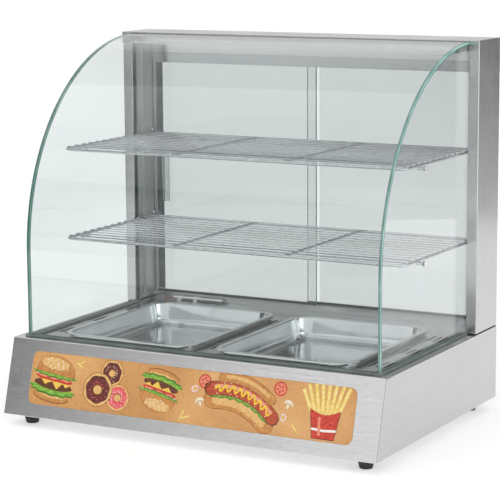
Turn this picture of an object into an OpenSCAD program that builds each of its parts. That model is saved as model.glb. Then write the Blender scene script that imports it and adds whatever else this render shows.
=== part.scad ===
// Countertop hot food display case.
// A folded stainless base holds two heated pans, a bent glass canopy stands on it,
// and two sliding glass doors close the back.
// Origin: centre of the footprint, on the surface that the feet stand on.
// +X is the customer's right, -Y is the front, +Z is up.

/* [Case] */
// Width across the base and the rear posts
case_w = 660; // [540:5:800]
// Depth of the base from its front bottom edge to the back panel
case_d = 464; // [420:2:560]
// Height of the base box
base_h = 120; // [100:1:150]
// Height of the canopy from the base top to the hood top
canopy_h = 471; // [390:1:570]
// How far the fascia leans back at its top edge
fascia_lean = 34; // [10:1:40]
// Thickness of the folded stainless sheet
sheet = 1; // [0.8:0.1:1.2]
// Height of a rubber foot
foot_h = 18; // [12:1:30]
// Diameter of a rubber foot at its top
foot_d = 28; // [22:1:36]

/* [Picture window] */
// Steel left at each side of the window
window_side = 43; // [30:1:60]
// Steel left above and below the window, along the slope
window_edge = 20; // [16:1:30]
// Corner radius of the window
window_r = 12; // [4:1:20]
// How far the window sits above the middle of the slope
window_lift = 1.5; // [0:0.5:5]
// Thickness of the picture panel
picture_t = 3; // [2:0.5:5]

/* [Canopy] */
// Thickness of the canopy glass
glass_t = 5; // [4:0.5:6]
// Width of a rear post across the front
post_w = 18; // [14:1:24]
// Depth of a rear post from front to back
post_d = 87; // [70:1:100]
// Straight height of the glass before it bends
glass_rise = 135; // [80:1:160]
// Height of the beam that closes the hood at the front
beam_h = 13; // [10:1:18]

/* [Doors] */
// Thickness of the sliding door glass
door_t = 4; // [3:0.5:5]
// Distance between the two door tracks
door_pitch = 12; // [11:0.5:14]
// How far the closed doors overlap at the middle
door_overlap = 22; // [12:1:40]
// Height of the finger pull on each door
pull_h = 90; // [60:5:140]

/* [Pans] */
// Width of a food pan across its rim
pan_w = 242; // [190:1:260]
// Length of a food pan from front to back
pan_l = 304; // [250:2:320]
// Depth of a food pan
pan_depth = 35; // [20:1:50]
// Width of the flat pan rim
pan_rim = 9; // [7:0.5:14]
// Thickness of the pan wall
pan_t = 0.8; // [0.6:0.1:1.2]
// Gap between the two pans
pan_gap = 34; // [30:1:60]

/* [Shelves] */
// Height of the lower shelf wires above the base top
lower_shelf_z = 146; // [120:1:170]
// Height of the upper shelf wires above the base top
upper_shelf_z = 292; // [250:1:310]
// Length of a shelf from front to back
shelf_l = 278; // [230:2:290]
// Thickness of the shelf's border rod
rod_d = 5; // [4:0.5:6]
// Thickness of a shelf wire
wire_d = 2.6; // [2:0.2:3]
// Number of wires across a shelf
wire_n = 13; // [9:1:17]

/* [Heat and light] */
// Diameter of a tubular heater
heater_d = 8; // [6.5:0.5:10]
// Spacing of the heater's legs
heater_pitch = 50; // [40:1:56]
// Diameter of the lamp tube
lamp_d = 12; // [10:1:15]
// Diameter of the temperature sensor
sensor_d = 6; // [5:0.5:8]
// Length of the temperature sensor
sensor_l = 98; // [60:1:120]

/* [Controls] */
// Diameter of the thermostat knob
knob_d = 42; // [34:1:52]
// How far the knob stands out from the back panel
knob_out = 20; // [14:1:26]
// Diameter of the thermostat shaft
shaft_d = 6; // [5:0.5:8]
// Radial running clearance of the shaft
shaft_fit = 0.05; // [0.02:0.01:0.1]
// Tilt of a rocker switch to each side, in degrees
rocker_tilt = 9; // [6:1:12]
// Bore of the cable gland
gland_bore = 8; // [6:0.5:10]

/* [Hidden] */

$fn = 48;
seam = 0.3;              // gap where two sheets meet edge to edge
fit = 0.2;               // gap between a piece and its seat
steel = "silver";
dark = "dimgray";
clear = [0.78, 0.88, 0.86, 0.35];

// Levels and depths that most pieces share
front_y = -(case_d + knob_out) / 2;
back_y = front_y + case_d;
base_z = foot_h;
deck_z = base_z + base_h;
top_z = deck_z + canopy_h;
fascia_y = front_y + fascia_lean;
half_w = case_w / 2;
panel_x = half_w - sheet;
post_y = back_y - sheet - fit - post_d;
post_x = half_w - post_w;
lean_angle = atan(fascia_lean / base_h);
slope_l = base_h / cos(lean_angle);
skew = sheet / cos(lean_angle);      // the sloped sheet, measured front to back
window_s = slope_l / 2 + window_lift; // centre of the window, up the slope
flange = 15;
foot_flange = 52;                    // foot of a side panel, which the feet screw through
foot_inset = 32.5;
foot_setback = 34;
foot_screw_d = 4.9;
foot_hole = foot_screw_d + 0.3;
screw_inset = 8;                     // screws from the side of the case
screw_d = 3.6;
screw_hole = 4.2;

// Canopy glass
glass_y = fascia_y + 16;             // outer face of the bent glass
glass_x = post_x;                    // outer face of a side glass
spring_z = deck_z + glass_rise;
glass_r = top_z - 2 * sheet - spring_z;
arc_y = glass_y + glass_r;
glass_gap = 0.3;                     // adhesive line between bent and flat glass
glass_end = post_y + 5;              // rear edge of the bent glass, under the hood
gasket_h = 3;
groove = 1.5;                        // floor of the gasket under the glass
glass_z0 = deck_z + groove + 0.05;
channel_w = 1.2;
channel_x = glass_x - glass_t - fit - channel_w;
liner_z = top_z - 6;
side_glass_back = post_y + 11;
shelf_hole = 6;                      // hole through the side glass for a stud
stud_drop = 5;                       // studs below the shelf rod's centre

// Height of a circle of the canopy bend at a depth; past its top it runs on level
function bend_z(r, y) = spring_z + (y < arc_y ? sqrt(r * r - (arc_y - y) * (arc_y - y)) : r);
channel_top = bend_z(glass_r - glass_t, post_y) - 3;

// Doors
track_d = 27;
track_y = back_y - sheet - fit - track_d;
inner_y = track_y + 7.5;
outer_y = inner_y + door_pitch;
sill_h = 10;
head_h = 18;
head_z = top_z - 55;
door_fit = 0.4;
jamb_in = 12;
door_edge_x = glass_x - 3;
door_z0 = deck_z + 4;
door_z1 = head_z + 11;

// Pans and deck
pan_x = (pan_gap + pan_w) / 2;
pan_y0 = glass_y + glass_t + 5;
pan_cy = pan_y0 + pan_l / 2;
bead_h = 7;                          // upstand round a deck opening
rim_z = deck_z + bead_h + fit;
body_w = pan_w - 2 * pan_rim;
body_l = pan_l - 2 * pan_rim;
body_r = 26;
pan_play = 2.5;
deck_y0 = fascia_y + 24;
ledge_x = half_w - 16;

// Heating space under the deck
box_z = deck_z - sheet - 80;
box_x = half_w - 34;
box_y0 = fascia_y + 34;
box_y1 = track_y - 24;
heater_z = deck_z - 52;

// Shelves
shelf_x = channel_x - 3;
pin_d = 5;
pin_y = post_y + 40 + pin_d / 2;
shelf_y1 = pin_y + 7;
shelf_y0 = shelf_y1 - shelf_l;
stud_y = shelf_y0 + 63;

// Controls on the back panel
control_z = base_z + base_h / 2;
knob_x = -half_w + 152;
pilot_x = knob_x - knob_d / 2 - 21;
power_x = pilot_x - 25;
light_x = power_x - 36;
gland_x = half_w - 68;
gland_z = base_z + 34;
switch_w = 21;
switch_h = 32;
rocker_w = 13;
rocker_h = 24;
switch_lip = 2;                      // bezel beyond the switch body
switch_hole_w = switch_w - 2 * switch_lip + 2 * fit;
switch_hole_h = switch_h - 2 * switch_lip + 2 * fit;
lamp_body_d = 10;
bush_d = 9.4;
gland_d = 16;
sensor_x = -half_w + 68;             // where the sensor meets its capillary tube
tube_d = 2;
tube_bend = 7;
tube_drop_x = sensor_x - 12 - tube_bend;

// Extrudes an outline drawn in Y and Z along X, centred
module along_x(w) rotate([90, 0, 90]) linear_extrude(w, center = true) children();

// Places a piece on the right (1) or mirrored on the left (-1)
module on_side(side) mirror([side < 0 ? 1 : 0, 0, 0]) children();

// A block between two corners
module block(lo, hi) translate(lo) cube(hi - lo);

// A plate with round corners, centred on the origin, standing on z = 0
module round_plate(w, l, r, t) {
    block([-w / 2 + r, -l / 2, 0], [w / 2 - r, l / 2, t]);
    block([-w / 2, -l / 2 + r, 0], [w / 2, l / 2 - r, t]);
    for (x = [-1, 1], y = [-1, 1])
        translate([x * (w / 2 - r), y * (l / 2 - r), 0]) cylinder(r = r, h = t);
}

// A rod along X or Y or Z from a start point
module rod_x(p, d, l) translate(p) rotate([0, 90, 0]) cylinder(d = d, h = l);
module rod_y(p, d, l) translate(p) rotate([-90, 0, 0]) cylinder(d = d, h = l);

// Puts a piece on the sloped fascia: x across, y up the slope, z outwards
module on_slope() translate([0, front_y, base_z]) rotate([90 - lean_angle, 0, 0]) children();

function lean_y(z) = front_y + fascia_lean * (z - base_z) / base_h;

// ---- Base -------------------------------------------------------------------

// Sloped front with a window and a return at the top and bottom
module front_fascia() {
    inner_top = deck_z - sheet;
    inner_low = base_z + sheet;
    color(steel) difference() {
        along_x(case_w) polygon([
            [front_y + flange, base_z], [front_y, base_z], [fascia_y, deck_z],
            [deck_y0 - seam, deck_z], [deck_y0 - seam, inner_top], [lean_y(inner_top) + skew, inner_top],
            [lean_y(inner_low) + skew, inner_low], [front_y + flange, inner_low]
        ]);
        on_slope() translate([0, window_s, -3 * sheet])
            round_plate(case_w - 2 * window_side, slope_l - 2 * window_edge, window_r, 6 * sheet);
    }
}

// Folded side of the base with a ledge at the top and flanges at the foot and the back
module side_panel(side) {
    start = skew + seam;
    low = base_z + sheet + seam;
    high = deck_z - sheet - seam;
    foot_y0 = front_y + flange + seam;
    color(steel) on_side(side) difference() {
        union() {
            translate([panel_x + sheet / 2, 0, 0]) along_x(sheet) polygon([
                [foot_y0, base_z], [foot_y0, low], [lean_y(low) + start, low], [lean_y(high) + start, high],
                [deck_y0, high], [deck_y0, deck_z], [back_y, deck_z], [back_y, base_z]
            ]);
            block([ledge_x, deck_y0, deck_z - sheet], [half_w, back_y, deck_z]);
            block([half_w - foot_flange, foot_y0, base_z], [half_w, back_y - sheet - seam, base_z + sheet]);
            block([half_w - flange, back_y - 2 * sheet - fit, base_z],
                  [half_w, back_y - sheet - fit, deck_z - sheet]);
        }
        for (y = foot_ys()) translate([foot_x(), y, base_z - sheet]) cylinder(d = foot_hole, h = 3 * sheet);
        for (z = back_screw_zs()) rod_y([half_w - screw_inset, back_y - 5, z], screw_hole, 8);
        block([panel_x - fit, back_y - sheet - fit, base_z - 1], [half_w - 8, back_y + 1, deck_z - sheet]);
    }
}

function foot_x() = half_w - foot_inset;
function foot_ys() = [front_y + foot_setback, back_y - foot_setback];
function back_screw_zs() = [base_z + 16, deck_z - 18];

// Flat rear cover of the base with cut-outs for the controls and air slots
module back_panel() {
    color(steel) difference() {
        block([-panel_x + 2 * fit, back_y - sheet, base_z], [panel_x - 2 * fit, back_y, deck_z - sheet - fit]);
        rod_y([knob_x, back_y - 3, control_z], bush_d + 3 * fit, 6);
        rod_y([pilot_x, back_y - 3, control_z], lamp_body_d + 2 * fit, 6);
        rod_y([gland_x, back_y - 3, gland_z], gland_d + 2 * fit, 6);
        for (x = [power_x, light_x])
            block([x - switch_hole_w / 2, back_y - 3, control_z - switch_hole_h / 2],
                  [x + switch_hole_w / 2, back_y + 3, control_z + switch_hole_h / 2]);
        for (x = [-1, 1] * (half_w - screw_inset), z = back_screw_zs()) rod_y([x, back_y - 5, z], screw_hole, 8);
        for (i = [-4:4], k = [0, 1])
            translate([60 + i * 14, back_y - 3, base_z + 30 + k * 34]) block([-2.5, 0, 0], [2.5, 6, 26]);
    }
}

// Floor of the base, resting on the side flanges
module bottom_plate() {
    color(steel) difference() {
        block([-panel_x + 2 * fit, front_y + flange + seam, base_z + sheet + 0.05],
              [panel_x - 2 * fit, back_y - 2 * sheet - 2 * fit, base_z + 2 * sheet]);
        for (x = [-1, 1] * foot_x(), y = foot_ys()) translate([x, y, base_z]) cylinder(d = foot_hole, h = 3 * sheet);
        for (i = [-6:6], k = [-1, 1])
            translate([i * 30, k * 90, base_z]) block([-3, -32, 0], [3, 32, 4]);
    }
}

// Work surface with two pan openings, an upstand round each, and slots that let the heat rise
module deck() {
    slot_x = half_w - 41;
    slot_l = 40;
    slot_w = 6;
    slot_pitch = 11;
    slot_y = pan_cy + 8;
    color(steel) difference() {
        union() {
            block([-ledge_x + seam, deck_y0, deck_z - sheet], [ledge_x - seam, back_y - sheet - seam, deck_z]);
            for (side = [-1, 1]) translate([side * pan_x, pan_cy, deck_z - sheet])
                round_plate(body_w + 2 * pan_play + 2 * sheet, body_l + 2 * pan_play + 2 * sheet,
                            body_r + pan_play + sheet, bead_h + sheet);
        }
        for (side = [-1, 1]) translate([side * pan_x, pan_cy, deck_z - 2 * sheet])
            round_plate(body_w + 2 * pan_play, body_l + 2 * pan_play, body_r + pan_play, bead_h + 4 * sheet);
        translate([tube_drop_x, sensor_y(), deck_z - 3]) cylinder(d = tube_d + 2, h = 6);
        for (x = [-slot_x, 0, slot_x], i = x == 0 ? [-1:1] : [-1.5:1.5], k = [-1:1])
            translate([x + i * slot_pitch, slot_y + k * pan_l / 3, deck_z - 3 * sheet])
                block([-slot_w / 2, -slot_l / 2, 0], [slot_w / 2, slot_l / 2, 6 * sheet]);
    }
}

// Open-topped box that holds the heat under the deck
module heat_box() {
    color(steel) difference() {
        block([-box_x, box_y0, box_z], [box_x, box_y1, deck_z - sheet - fit]);
        block([-box_x + sheet, box_y0 + sheet, box_z + sheet], [box_x - sheet, box_y1 - sheet, deck_z + 5]);
        for (side = [-1, 1], leg = [-1.5, 1.5])
            rod_y([side * pan_x + leg * heater_pitch, box_y1 - 5, heater_z], heater_d + 1, 10);
    }
}

// Printed acrylic sheet behind the window
module picture_panel() {
    color("orange") on_slope() translate([0, window_s, -sheet - picture_t - fit])
        round_plate(case_w - 2 * window_side + 20, slope_l - 2 * window_edge + 14, 3, picture_t);
}

// Spring clips that press the picture panel against the fascia
module picture_clips() {
    low = -sheet - picture_t - 2 * fit - sheet;
    reach = slope_l / 2 - window_edge + 7;
    color(steel) on_slope()
        for (x = [-1, 0, 1] * (half_w - window_side - 60), side = [-1, 1])
            translate([x, window_s, low]) {
                block([-9, min(side * (reach - 9), side * (reach + 5)), 0],
                      [9, max(side * (reach - 9), side * (reach + 5)), sheet]);
                block([-9, side * (reach + 4) - 1, 0], [9, side * (reach + 4) + 1, -low - sheet - 0.05]);
            }
}

// Four tapered rubber feet
module feet() {
    color("black") for (x = [-1, 1], y = foot_ys()) translate([x * foot_x(), y, 0]) difference() {
        cylinder(d1 = foot_d - 8, d2 = foot_d, h = foot_h);
        translate([0, 0, -1]) cylinder(d = foot_hole, h = foot_h + 2);
        translate([0, 0, -1]) cylinder(d = 11, h = 6);
    }
}

// One pan-head screw through each foot
module foot_screws() {
    color(dark) for (x = [-1, 1], y = foot_ys()) translate([x * foot_x(), y, 0]) {
        translate([0, 0, 2.5]) cylinder(d = 9.5, h = 2.4);
        translate([0, 0, 4.5]) cylinder(d = foot_screw_d, h = base_z + 5);
    }
}

// Pan-head screws through the back panel and the hood skirt
module panel_screws() {
    back = [for (z = back_screw_zs()) [half_w - screw_inset, z]];
    skirt = [for (z = hood_screw_zs()) [half_w - post_w / 2, z]];
    color(steel) for (side = [-1, 1], at = concat(back, skirt)) {
        rod_y([side * at[0], back_y + 0.05, at[1]], 7.5, 2);
        rod_y([side * at[0], back_y - 8, at[1]], screw_d, 9);
    }
}

// ---- Pans and heating ---------------------------------------------------------

// Solid with round corners between two levels, its wall drawn in by a different amount at each
module drafted(w, l, r, z0, in0, z1, in1) {
    function wall(s) = [[-s / 2 + in0, z0], [s / 2 - in0, z0], [s / 2 - in1, z1], [-s / 2 + in1, z1]];
    rotate([90, 0, 0]) linear_extrude(l - 2 * r, center = true) polygon(wall(w));
    along_x(w - 2 * r) polygon(wall(l));
    for (x = [-1, 1], y = [-1, 1])
        translate([x * (w / 2 - r), y * (l / 2 - r), z0]) cylinder(r1 = r - in0, r2 = r - in1, h = z1 - z0);
}

// Pan body: drafted sides over a floor with an eased edge
module pan_form(w, l, r, h) {
    draft = 5;
    floor_edge = 4;
    floor_h = 5;
    drafted(w, l, r, 0, draft + floor_edge, floor_h, draft);
    drafted(w, l, r, floor_h, draft, h, 0);
}

// Pressed food pan with a flat rim turned down at its edge
module pan(side) {
    rim_r = body_r + pan_rim;
    color(steel) translate([side * pan_x, pan_cy, rim_z]) difference() {
        union() {
            translate([0, 0, -pan_depth]) pan_form(body_w, body_l, body_r, pan_depth + pan_t);
            round_plate(pan_w, pan_l, rim_r, pan_t);
            difference() {
                translate([0, 0, -4]) round_plate(pan_w, pan_l, rim_r, 4 + pan_t / 2);
                translate([0, 0, -5]) round_plate(pan_w - 2 * pan_t, pan_l - 2 * pan_t, rim_r - pan_t, 5);
            }
        }
        translate([0, 0, pan_t - pan_depth])
            pan_form(body_w - 2 * pan_t, body_l - 2 * pan_t, body_r - pan_t, pan_depth + 1);
    }
}

// Tubular heater bent into three loops, both ends out through the box
module heater(side) {
    leg_y0 = box_y0 + 20 + heater_pitch / 2;
    leg_y1 = box_y1 - 30 - heater_pitch / 2;
    color(dark) translate([side * pan_x, 0, heater_z]) {
        for (leg = [-1.5, 1.5]) rod_y([leg * heater_pitch, leg_y0, 0], heater_d, box_y1 + 14 - leg_y0);
        for (leg = [-0.5, 0.5]) rod_y([leg * heater_pitch, leg_y0, 0], heater_d, leg_y1 - leg_y0);
        for (bend = [-1, 1]) translate([bend * heater_pitch, leg_y0, 0]) rotate([0, 0, 180])
            rotate_extrude(angle = 180) translate([heater_pitch / 2, 0]) circle(d = heater_d);
        translate([0, leg_y1, 0])
            rotate_extrude(angle = 180) translate([heater_pitch / 2, 0]) circle(d = heater_d);
    }
}

// Two folded strips under each heater
module heater_brackets() {
    rest_z = heater_z - heater_d / 2 - 0.1;
    bar = 1.9 * heater_pitch;
    color(steel) for (side = [-1, 1], y = [box_y0 + 70, box_y1 - 90]) translate([side * pan_x, y, 0]) {
        block([-bar, -7, rest_z - sheet], [bar, 7, rest_z]);
        for (e = [-1, 1]) block([e * bar - sheet, -7, box_z + sheet + 0.05], [e * bar + sheet, 7, rest_z]);
    }
}

// ---- Controls -------------------------------------------------------------------

// Thermostat switch behind the back panel, bored for its shaft
module thermostat_body() {
    color("ivory") difference() {
        union() {
            block([knob_x - 22, back_y - 32, control_z - 20], [knob_x + 22, back_y - 6, control_z + 20]);
            rod_y([knob_x, back_y - 8, control_z], bush_d, 6.8);
        }
        rod_y([knob_x, back_y - 24, control_z], shaft_d + 2 * shaft_fit, 30);
    }
}

// Shaft that the knob turns
module thermostat_shaft() {
    color(steel) rod_y([knob_x, back_y - 23, control_z], shaft_d, 23 + knob_out - 6);
}

// Fluted knob with a pointer rib, bored to press on the shaft
module thermostat_knob() {
    y0 = back_y + 2;
    flutes = 16;
    color("black") difference() {
        union() {
            rod_y([knob_x, y0, control_z], knob_d, 5);
            rod_y([knob_x, y0 + 4, control_z], knob_d - 8, knob_out - 6);
            block([knob_x - 2, y0 + 4, control_z], [knob_x + 2, y0 + knob_out - 2, control_z + knob_d / 2 - 2]);
        }
        rod_y([knob_x, y0 - 1, control_z], shaft_d, knob_out - 7);
        for (i = [1:flutes - 1]) translate([knob_x, 0, control_z]) rotate([0, i * 360 / flutes, 0])
            rod_y([0, y0 + 5.5, knob_d / 2 - 2.6], 3, knob_out);
    }
}

// Thin dial ring under the knob
module dial_plate() {
    color("white") difference() {
        rod_y([knob_x, back_y + 0.05, control_z], knob_d + 22, 0.8);
        rod_y([knob_x, back_y - 1, control_z], 12, 4);
    }
}

// Temperature sensor lying along the back of the deck
module sensor_bulb() {
    color(steel) rod_x([sensor_x, sensor_y(), sensor_z()], sensor_d, sensor_l);
}

function sensor_y() = track_y - 10;
function sensor_z() = deck_z + sensor_d / 2 + 1.2;

// Thin copper tube from the sensor down through the deck to the thermostat
module capillary_tube() {
    turn_x = tube_drop_x + tube_bend;
    low_z = heater_z - 14;
    reach = back_y - 32.2 - sensor_y();
    color("peru") {
        rod_x([turn_x, sensor_y(), sensor_z()], tube_d, sensor_x - turn_x - 0.1);
        translate([turn_x, sensor_y(), sensor_z() - tube_bend]) rotate([90, 0, 180]) tube_arc(tube_bend);
        translate([tube_drop_x, sensor_y(), low_z + tube_bend])
            cylinder(d = tube_d, h = sensor_z() - low_z - 2 * tube_bend);
        translate([turn_x, sensor_y(), low_z + tube_bend])
            rotate([90, 0, 0]) rotate([0, 0, 180]) tube_arc(tube_bend);
        rod_x([turn_x, sensor_y(), low_z], tube_d, knob_x - reach - turn_x);
        translate([knob_x - reach, sensor_y() + reach, low_z]) rotate([0, 0, -90]) tube_arc(reach);
    }
}

// Quarter bend of the tube
module tube_arc(r) rotate_extrude(angle = 90) translate([r, 0]) circle(d = tube_d);

// Two saddle clips round the sensor
module sensor_clips() {
    color(steel) for (x = [0.14, 0.47] * sensor_l) translate([sensor_x + x, sensor_y(), deck_z + 0.05])
        difference() {
            union() {
                block([-4, -7, 0], [4, 7, 1]);
                block([-4, -sensor_d / 2 - 1, 0], [4, sensor_d / 2 + 1, sensor_d / 2 + 1.2]);
                rod_x([-4, 0, sensor_d / 2 + 1.15], sensor_d + 2, 8);
            }
            rod_x([-5, 0, sensor_d / 2 + 1.15], sensor_d + 0.1, 10);
        }
}

// Snap-in switch body with a bezel and a cavity for its rocker
module switch_housing(x) {
    color("black") translate([x, back_y, control_z]) difference() {
        union() {
            block([-switch_w / 2, 0.05, -switch_h / 2], [switch_w / 2, 2.5, switch_h / 2]);
            block([-switch_w / 2 + switch_lip, -22, -switch_h / 2 + switch_lip],
                  [switch_w / 2 - switch_lip, 1, switch_h / 2 - switch_lip]);
        }
        block([-rocker_w / 2 - seam, -9, -rocker_h / 2 - 0.6], [rocker_w / 2 + seam, 4, rocker_h / 2 + 0.6]);
    }
}

// Rocker key with a shallow V face, shown switched off
module switch_rocker(x, colour) {
    rise = tan(rocker_tilt) * rocker_h / 2;
    color(colour) translate([x, back_y, control_z]) rotate([-rocker_tilt, 0, 0]) along_x(rocker_w) polygon([
        [-4, -4], [-2.2, -rocker_h / 2 + 0.4], [1.2 + rise, -rocker_h / 2 + 0.4], [1.2, 0],
        [1.2 + rise, rocker_h / 2 - 0.4], [-2.2, rocker_h / 2 - 0.4], [-4, 4]
    ]);
}

// Round pilot lamp
module indicator_lamp() {
    color("red") translate([pilot_x, back_y, control_z]) {
        rod_y([0, -18, 0], lamp_body_d, 19);
        rod_y([0, 0.05, 0], lamp_body_d + 3, 2.5);
        rod_y([0, 2, 0], 9, 3);
    }
}

// Screwed gland where the supply cable enters
module cable_gland() {
    color("black") translate([gland_x, back_y, gland_z]) difference() {
        union() {
            rod_y([0, -12, 0], gland_d, 13);
            rod_y([0, 0.05, 0], gland_d + 8, 6, $fn = 6);
            rod_y([0, 5, 0], gland_d + 4, 11);
        }
        rod_y([0, -14, 0], gland_bore, 32);
    }
}

// Nut that clamps the gland from inside
module gland_nut() {
    color("black") difference() {
        rod_y([gland_x, back_y - sheet - 5.1, gland_z], gland_d + 8, 5, $fn = 6);
        rod_y([gland_x, back_y - 8, gland_z], gland_d + 0.1, 8);
    }
}

// Ceramic terminal block on the floor of the base
module terminal_block() {
    color("ivory") translate([gland_x - 70, back_y - 34, base_z + 2 * sheet + 0.05]) difference() {
        block([-30, -11, 0], [30, 11, 18]);
        for (i = [-1:1]) rod_y([i * 19, -12, 9], 6, 24);
    }
}

// ---- Canopy frame -----------------------------------------------------------------

// Hollow rear post
module post(side) {
    z0 = deck_z + 2;
    z1 = top_z - sheet - 0.1;
    y1 = back_y - sheet - fit;
    color(steel) on_side(side) difference() {
        block([post_x, post_y, z0], [half_w, y1, z1]);
        block([post_x + sheet, post_y + sheet, z0 - 1], [half_w - sheet, y1 - sheet, z1 - 2 * sheet]);
        for (z = hood_screw_zs()) rod_y([half_w - post_w / 2, y1 - 4, z], screw_hole, 8);
    }
}

function hood_screw_zs() = [top_z - 14, top_z - 42];

// Rubber pads that the posts stand on
module post_gaskets() {
    color("black") for (side = [-1, 1]) on_side(side)
        block([post_x + 1, post_y + 1, deck_z + 0.05], [half_w - 1, back_y - sheet - 1, deck_z + 1.95]);
}

// Folded trim on the inside of a post, from behind the side glass to the door jamb; pegs pass through it
module glass_channel(side) {
    z0 = deck_z + sill_h + 1;
    outer = post_x - 0.1;
    step_y = post_y + 30;
    color(steel) on_side(side) difference() {
        translate([0, 0, z0]) linear_extrude(channel_top - z0) polygon([
            [outer, post_y + 12], [outer, step_y], [channel_x + channel_w, step_y],
            [channel_x + channel_w, track_y - 0.7], [channel_x, track_y - 0.7], [channel_x, step_y - channel_w],
            [outer - channel_w, step_y - channel_w], [outer - channel_w, post_y + 12]
        ]);
        for (z = shelf_heights(), up = [-1, 1])
            rod_x([channel_x - 1, pin_y, pin_z(z, up)], pin_d + 0.8, channel_w + 2);
    }
}

// Roof of the canopy with a short front lip and a skirt over the posts at the back
module hood() {
    color(steel) difference() {
        union() {
            block([-half_w, post_y, top_z - sheet], [half_w, back_y, top_z]);
            block([-half_w, post_y - sheet, top_z - 2 * sheet + 0.2], [half_w, post_y + 0.01, top_z]);
            block([-half_w, back_y - sheet, top_z - 56], [half_w, back_y, top_z]);
        }
        for (x = [-1, 1] * (half_w - post_w / 2), z = hood_screw_zs()) rod_y([x, back_y - 3, z], screw_hole, 6);
    }
}

// Bright liner under the roof that throws the lamp light down
module hood_liner() {
    x = channel_x - fit;
    y0 = post_y + 14;
    y1 = track_y - fit;
    color(steel) {
        block([-x, y0, liner_z], [x, y1, liner_z + sheet]);
        block([-x, y1 - sheet, head_z + head_h], [x, y1, liner_z + sheet]);
        block([-x, y0, liner_z], [x, y0 + sheet, top_z - sheet - 0.1]);
    }
}

// Channel under the top edge of the bent glass
module front_beam() {
    x = channel_x - fit;
    z1 = bend_z(glass_r - glass_t, post_y) - 0.5;
    z0 = z1 - beam_h;
    y1 = post_y + 13;
    color(steel) along_x(2 * x) polygon([
        [post_y, z0], [y1, z0], [y1, z0 + sheet], [post_y + sheet, z0 + sheet],
        [post_y + sheet, z1 - sheet], [y1, z1 - sheet], [y1, z1], [post_y, z1]
    ]);
}

// ---- Canopy glass -------------------------------------------------------------------

// All that lies within a radius of the canopy bend, over its spring line, back to a depth;
// past the top of the bend it runs on level
module under_bend(x0, w, r, y1) {
    intersection() {
        rod_x([x0, arc_y, spring_z], 2 * r, w, $fn = 96);
        block([x0, arc_y - r, spring_z], [x0 + w, min(y1, arc_y), spring_z + r + 1]);
    }
    if (y1 > arc_y) block([x0, arc_y, spring_z], [x0 + w, y1, spring_z + r]);
}

// Flat side glass, cut to the curve of the bent glass
module side_glass(side) {
    r = glass_r - glass_t - glass_gap;
    x0 = glass_x - glass_t;
    color(clear) on_side(side) difference() {
        union() {
            block([x0, arc_y - r, glass_z0], [glass_x, side_glass_back, spring_z]);
            under_bend(x0, glass_t, r, side_glass_back);
        }
        for (z = shelf_heights()) rod_x([x0 - 1, stud_y, z - stud_drop], shelf_hole, glass_t + 2);
    }
}

function shelf_heights() = [deck_z + lower_shelf_z, deck_z + upper_shelf_z];

// Bent front glass that runs from the base up and over to the hood
module front_glass() {
    w = 2 * glass_x;
    color(clear) {
        block([-glass_x, glass_y, glass_z0], [glass_x, glass_y + glass_t, spring_z]);
        difference() {
            under_bend(-glass_x, w, glass_r, glass_end);
            rod_x([-glass_x - 1, arc_y, spring_z], 2 * (glass_r - glass_t), w + 2, $fn = 96);
            block([-glass_x - 1, arc_y, spring_z - 1],
                  [glass_x + 1, arc_y + glass_r, spring_z + glass_r - glass_t]);
        }
    }
}

// Rubber strip with a groove for the bottom of the bent glass
module front_gasket() {
    lo = glass_y - 4;
    hi = glass_y + glass_t + 3.5;
    z1 = deck_z + gasket_h;
    color(dark) along_x(2 * glass_x - 2 * glass_t - 14) polygon([
        [lo, deck_z + 0.05], [hi, deck_z + 0.05], [hi, z1], [glass_y + glass_t + 0.1, z1],
        [glass_y + glass_t + 0.1, deck_z + groove], [glass_y - 0.1, deck_z + groove],
        [glass_y - 0.1, z1], [lo, z1]
    ]);
}

// Rubber strip with a groove for a side glass, returning round the front corner
module side_gasket(side) {
    in_x = glass_x - glass_t;
    y0 = glass_y - 4;
    color(dark) on_side(side) difference() {
        block([in_x - 6.5, y0, deck_z + 0.05], [glass_x + 3.5, post_y - 0.5, deck_z + gasket_h]);
        block([in_x - 0.1, glass_y - 0.1, deck_z + groove], [glass_x + 0.1, post_y, deck_z + 5]);
        block([in_x - 8, glass_y - 0.1, deck_z + groove], [glass_x + 0.1, glass_y + glass_t + 0.1, deck_z + 5]);
    }
}

// Rubber-faced clips under the bend that tie the glass to the posts
module glass_clips() {
    r = glass_r - glass_t - 1;
    clip_w = 7;
    clip_h = 8;
    clip_l = 34;
    x0 = glass_x - glass_t - clip_w - 0.1;
    color(dark) for (side = [-1, 1]) on_side(side) difference() {
        under_bend(x0, clip_w, r, post_y - 0.1);
        translate([0, 0, -clip_h]) under_bend(x0 - 1, clip_w + 2, r, post_y + 1);
        block([x0 - 1, arc_y - r - 1, spring_z - 1], [x0 + clip_w + 1, post_y - clip_l, top_z]);
    }
}

// ---- Doors -------------------------------------------------------------------------

// Extrusion with two grooves for the doors, open at the top, or at the bottom where it is the head
module door_track(z0, h, floor_z, flip) {
    slot = door_t + 2 * door_fit;
    x = channel_x + channel_w - 0.5;
    color(dark) difference() {
        block([-x, track_y, z0], [x, track_y + track_d - 0.5, z0 + h]);
        for (y = [inner_y, outer_y])
            if (flip) block([-x - 1, y - slot / 2, z0 - 1], [x + 1, y + slot / 2, floor_z]);
            else block([-x - 1, y - slot / 2, floor_z], [x + 1, y + slot / 2, z0 + h + 1]);
    }
}

module bottom_door_track() door_track(deck_z + 0.05, sill_h, door_z0 - door_fit, false);
module top_door_track() door_track(head_z, head_h, head_z + 15, true);

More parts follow.
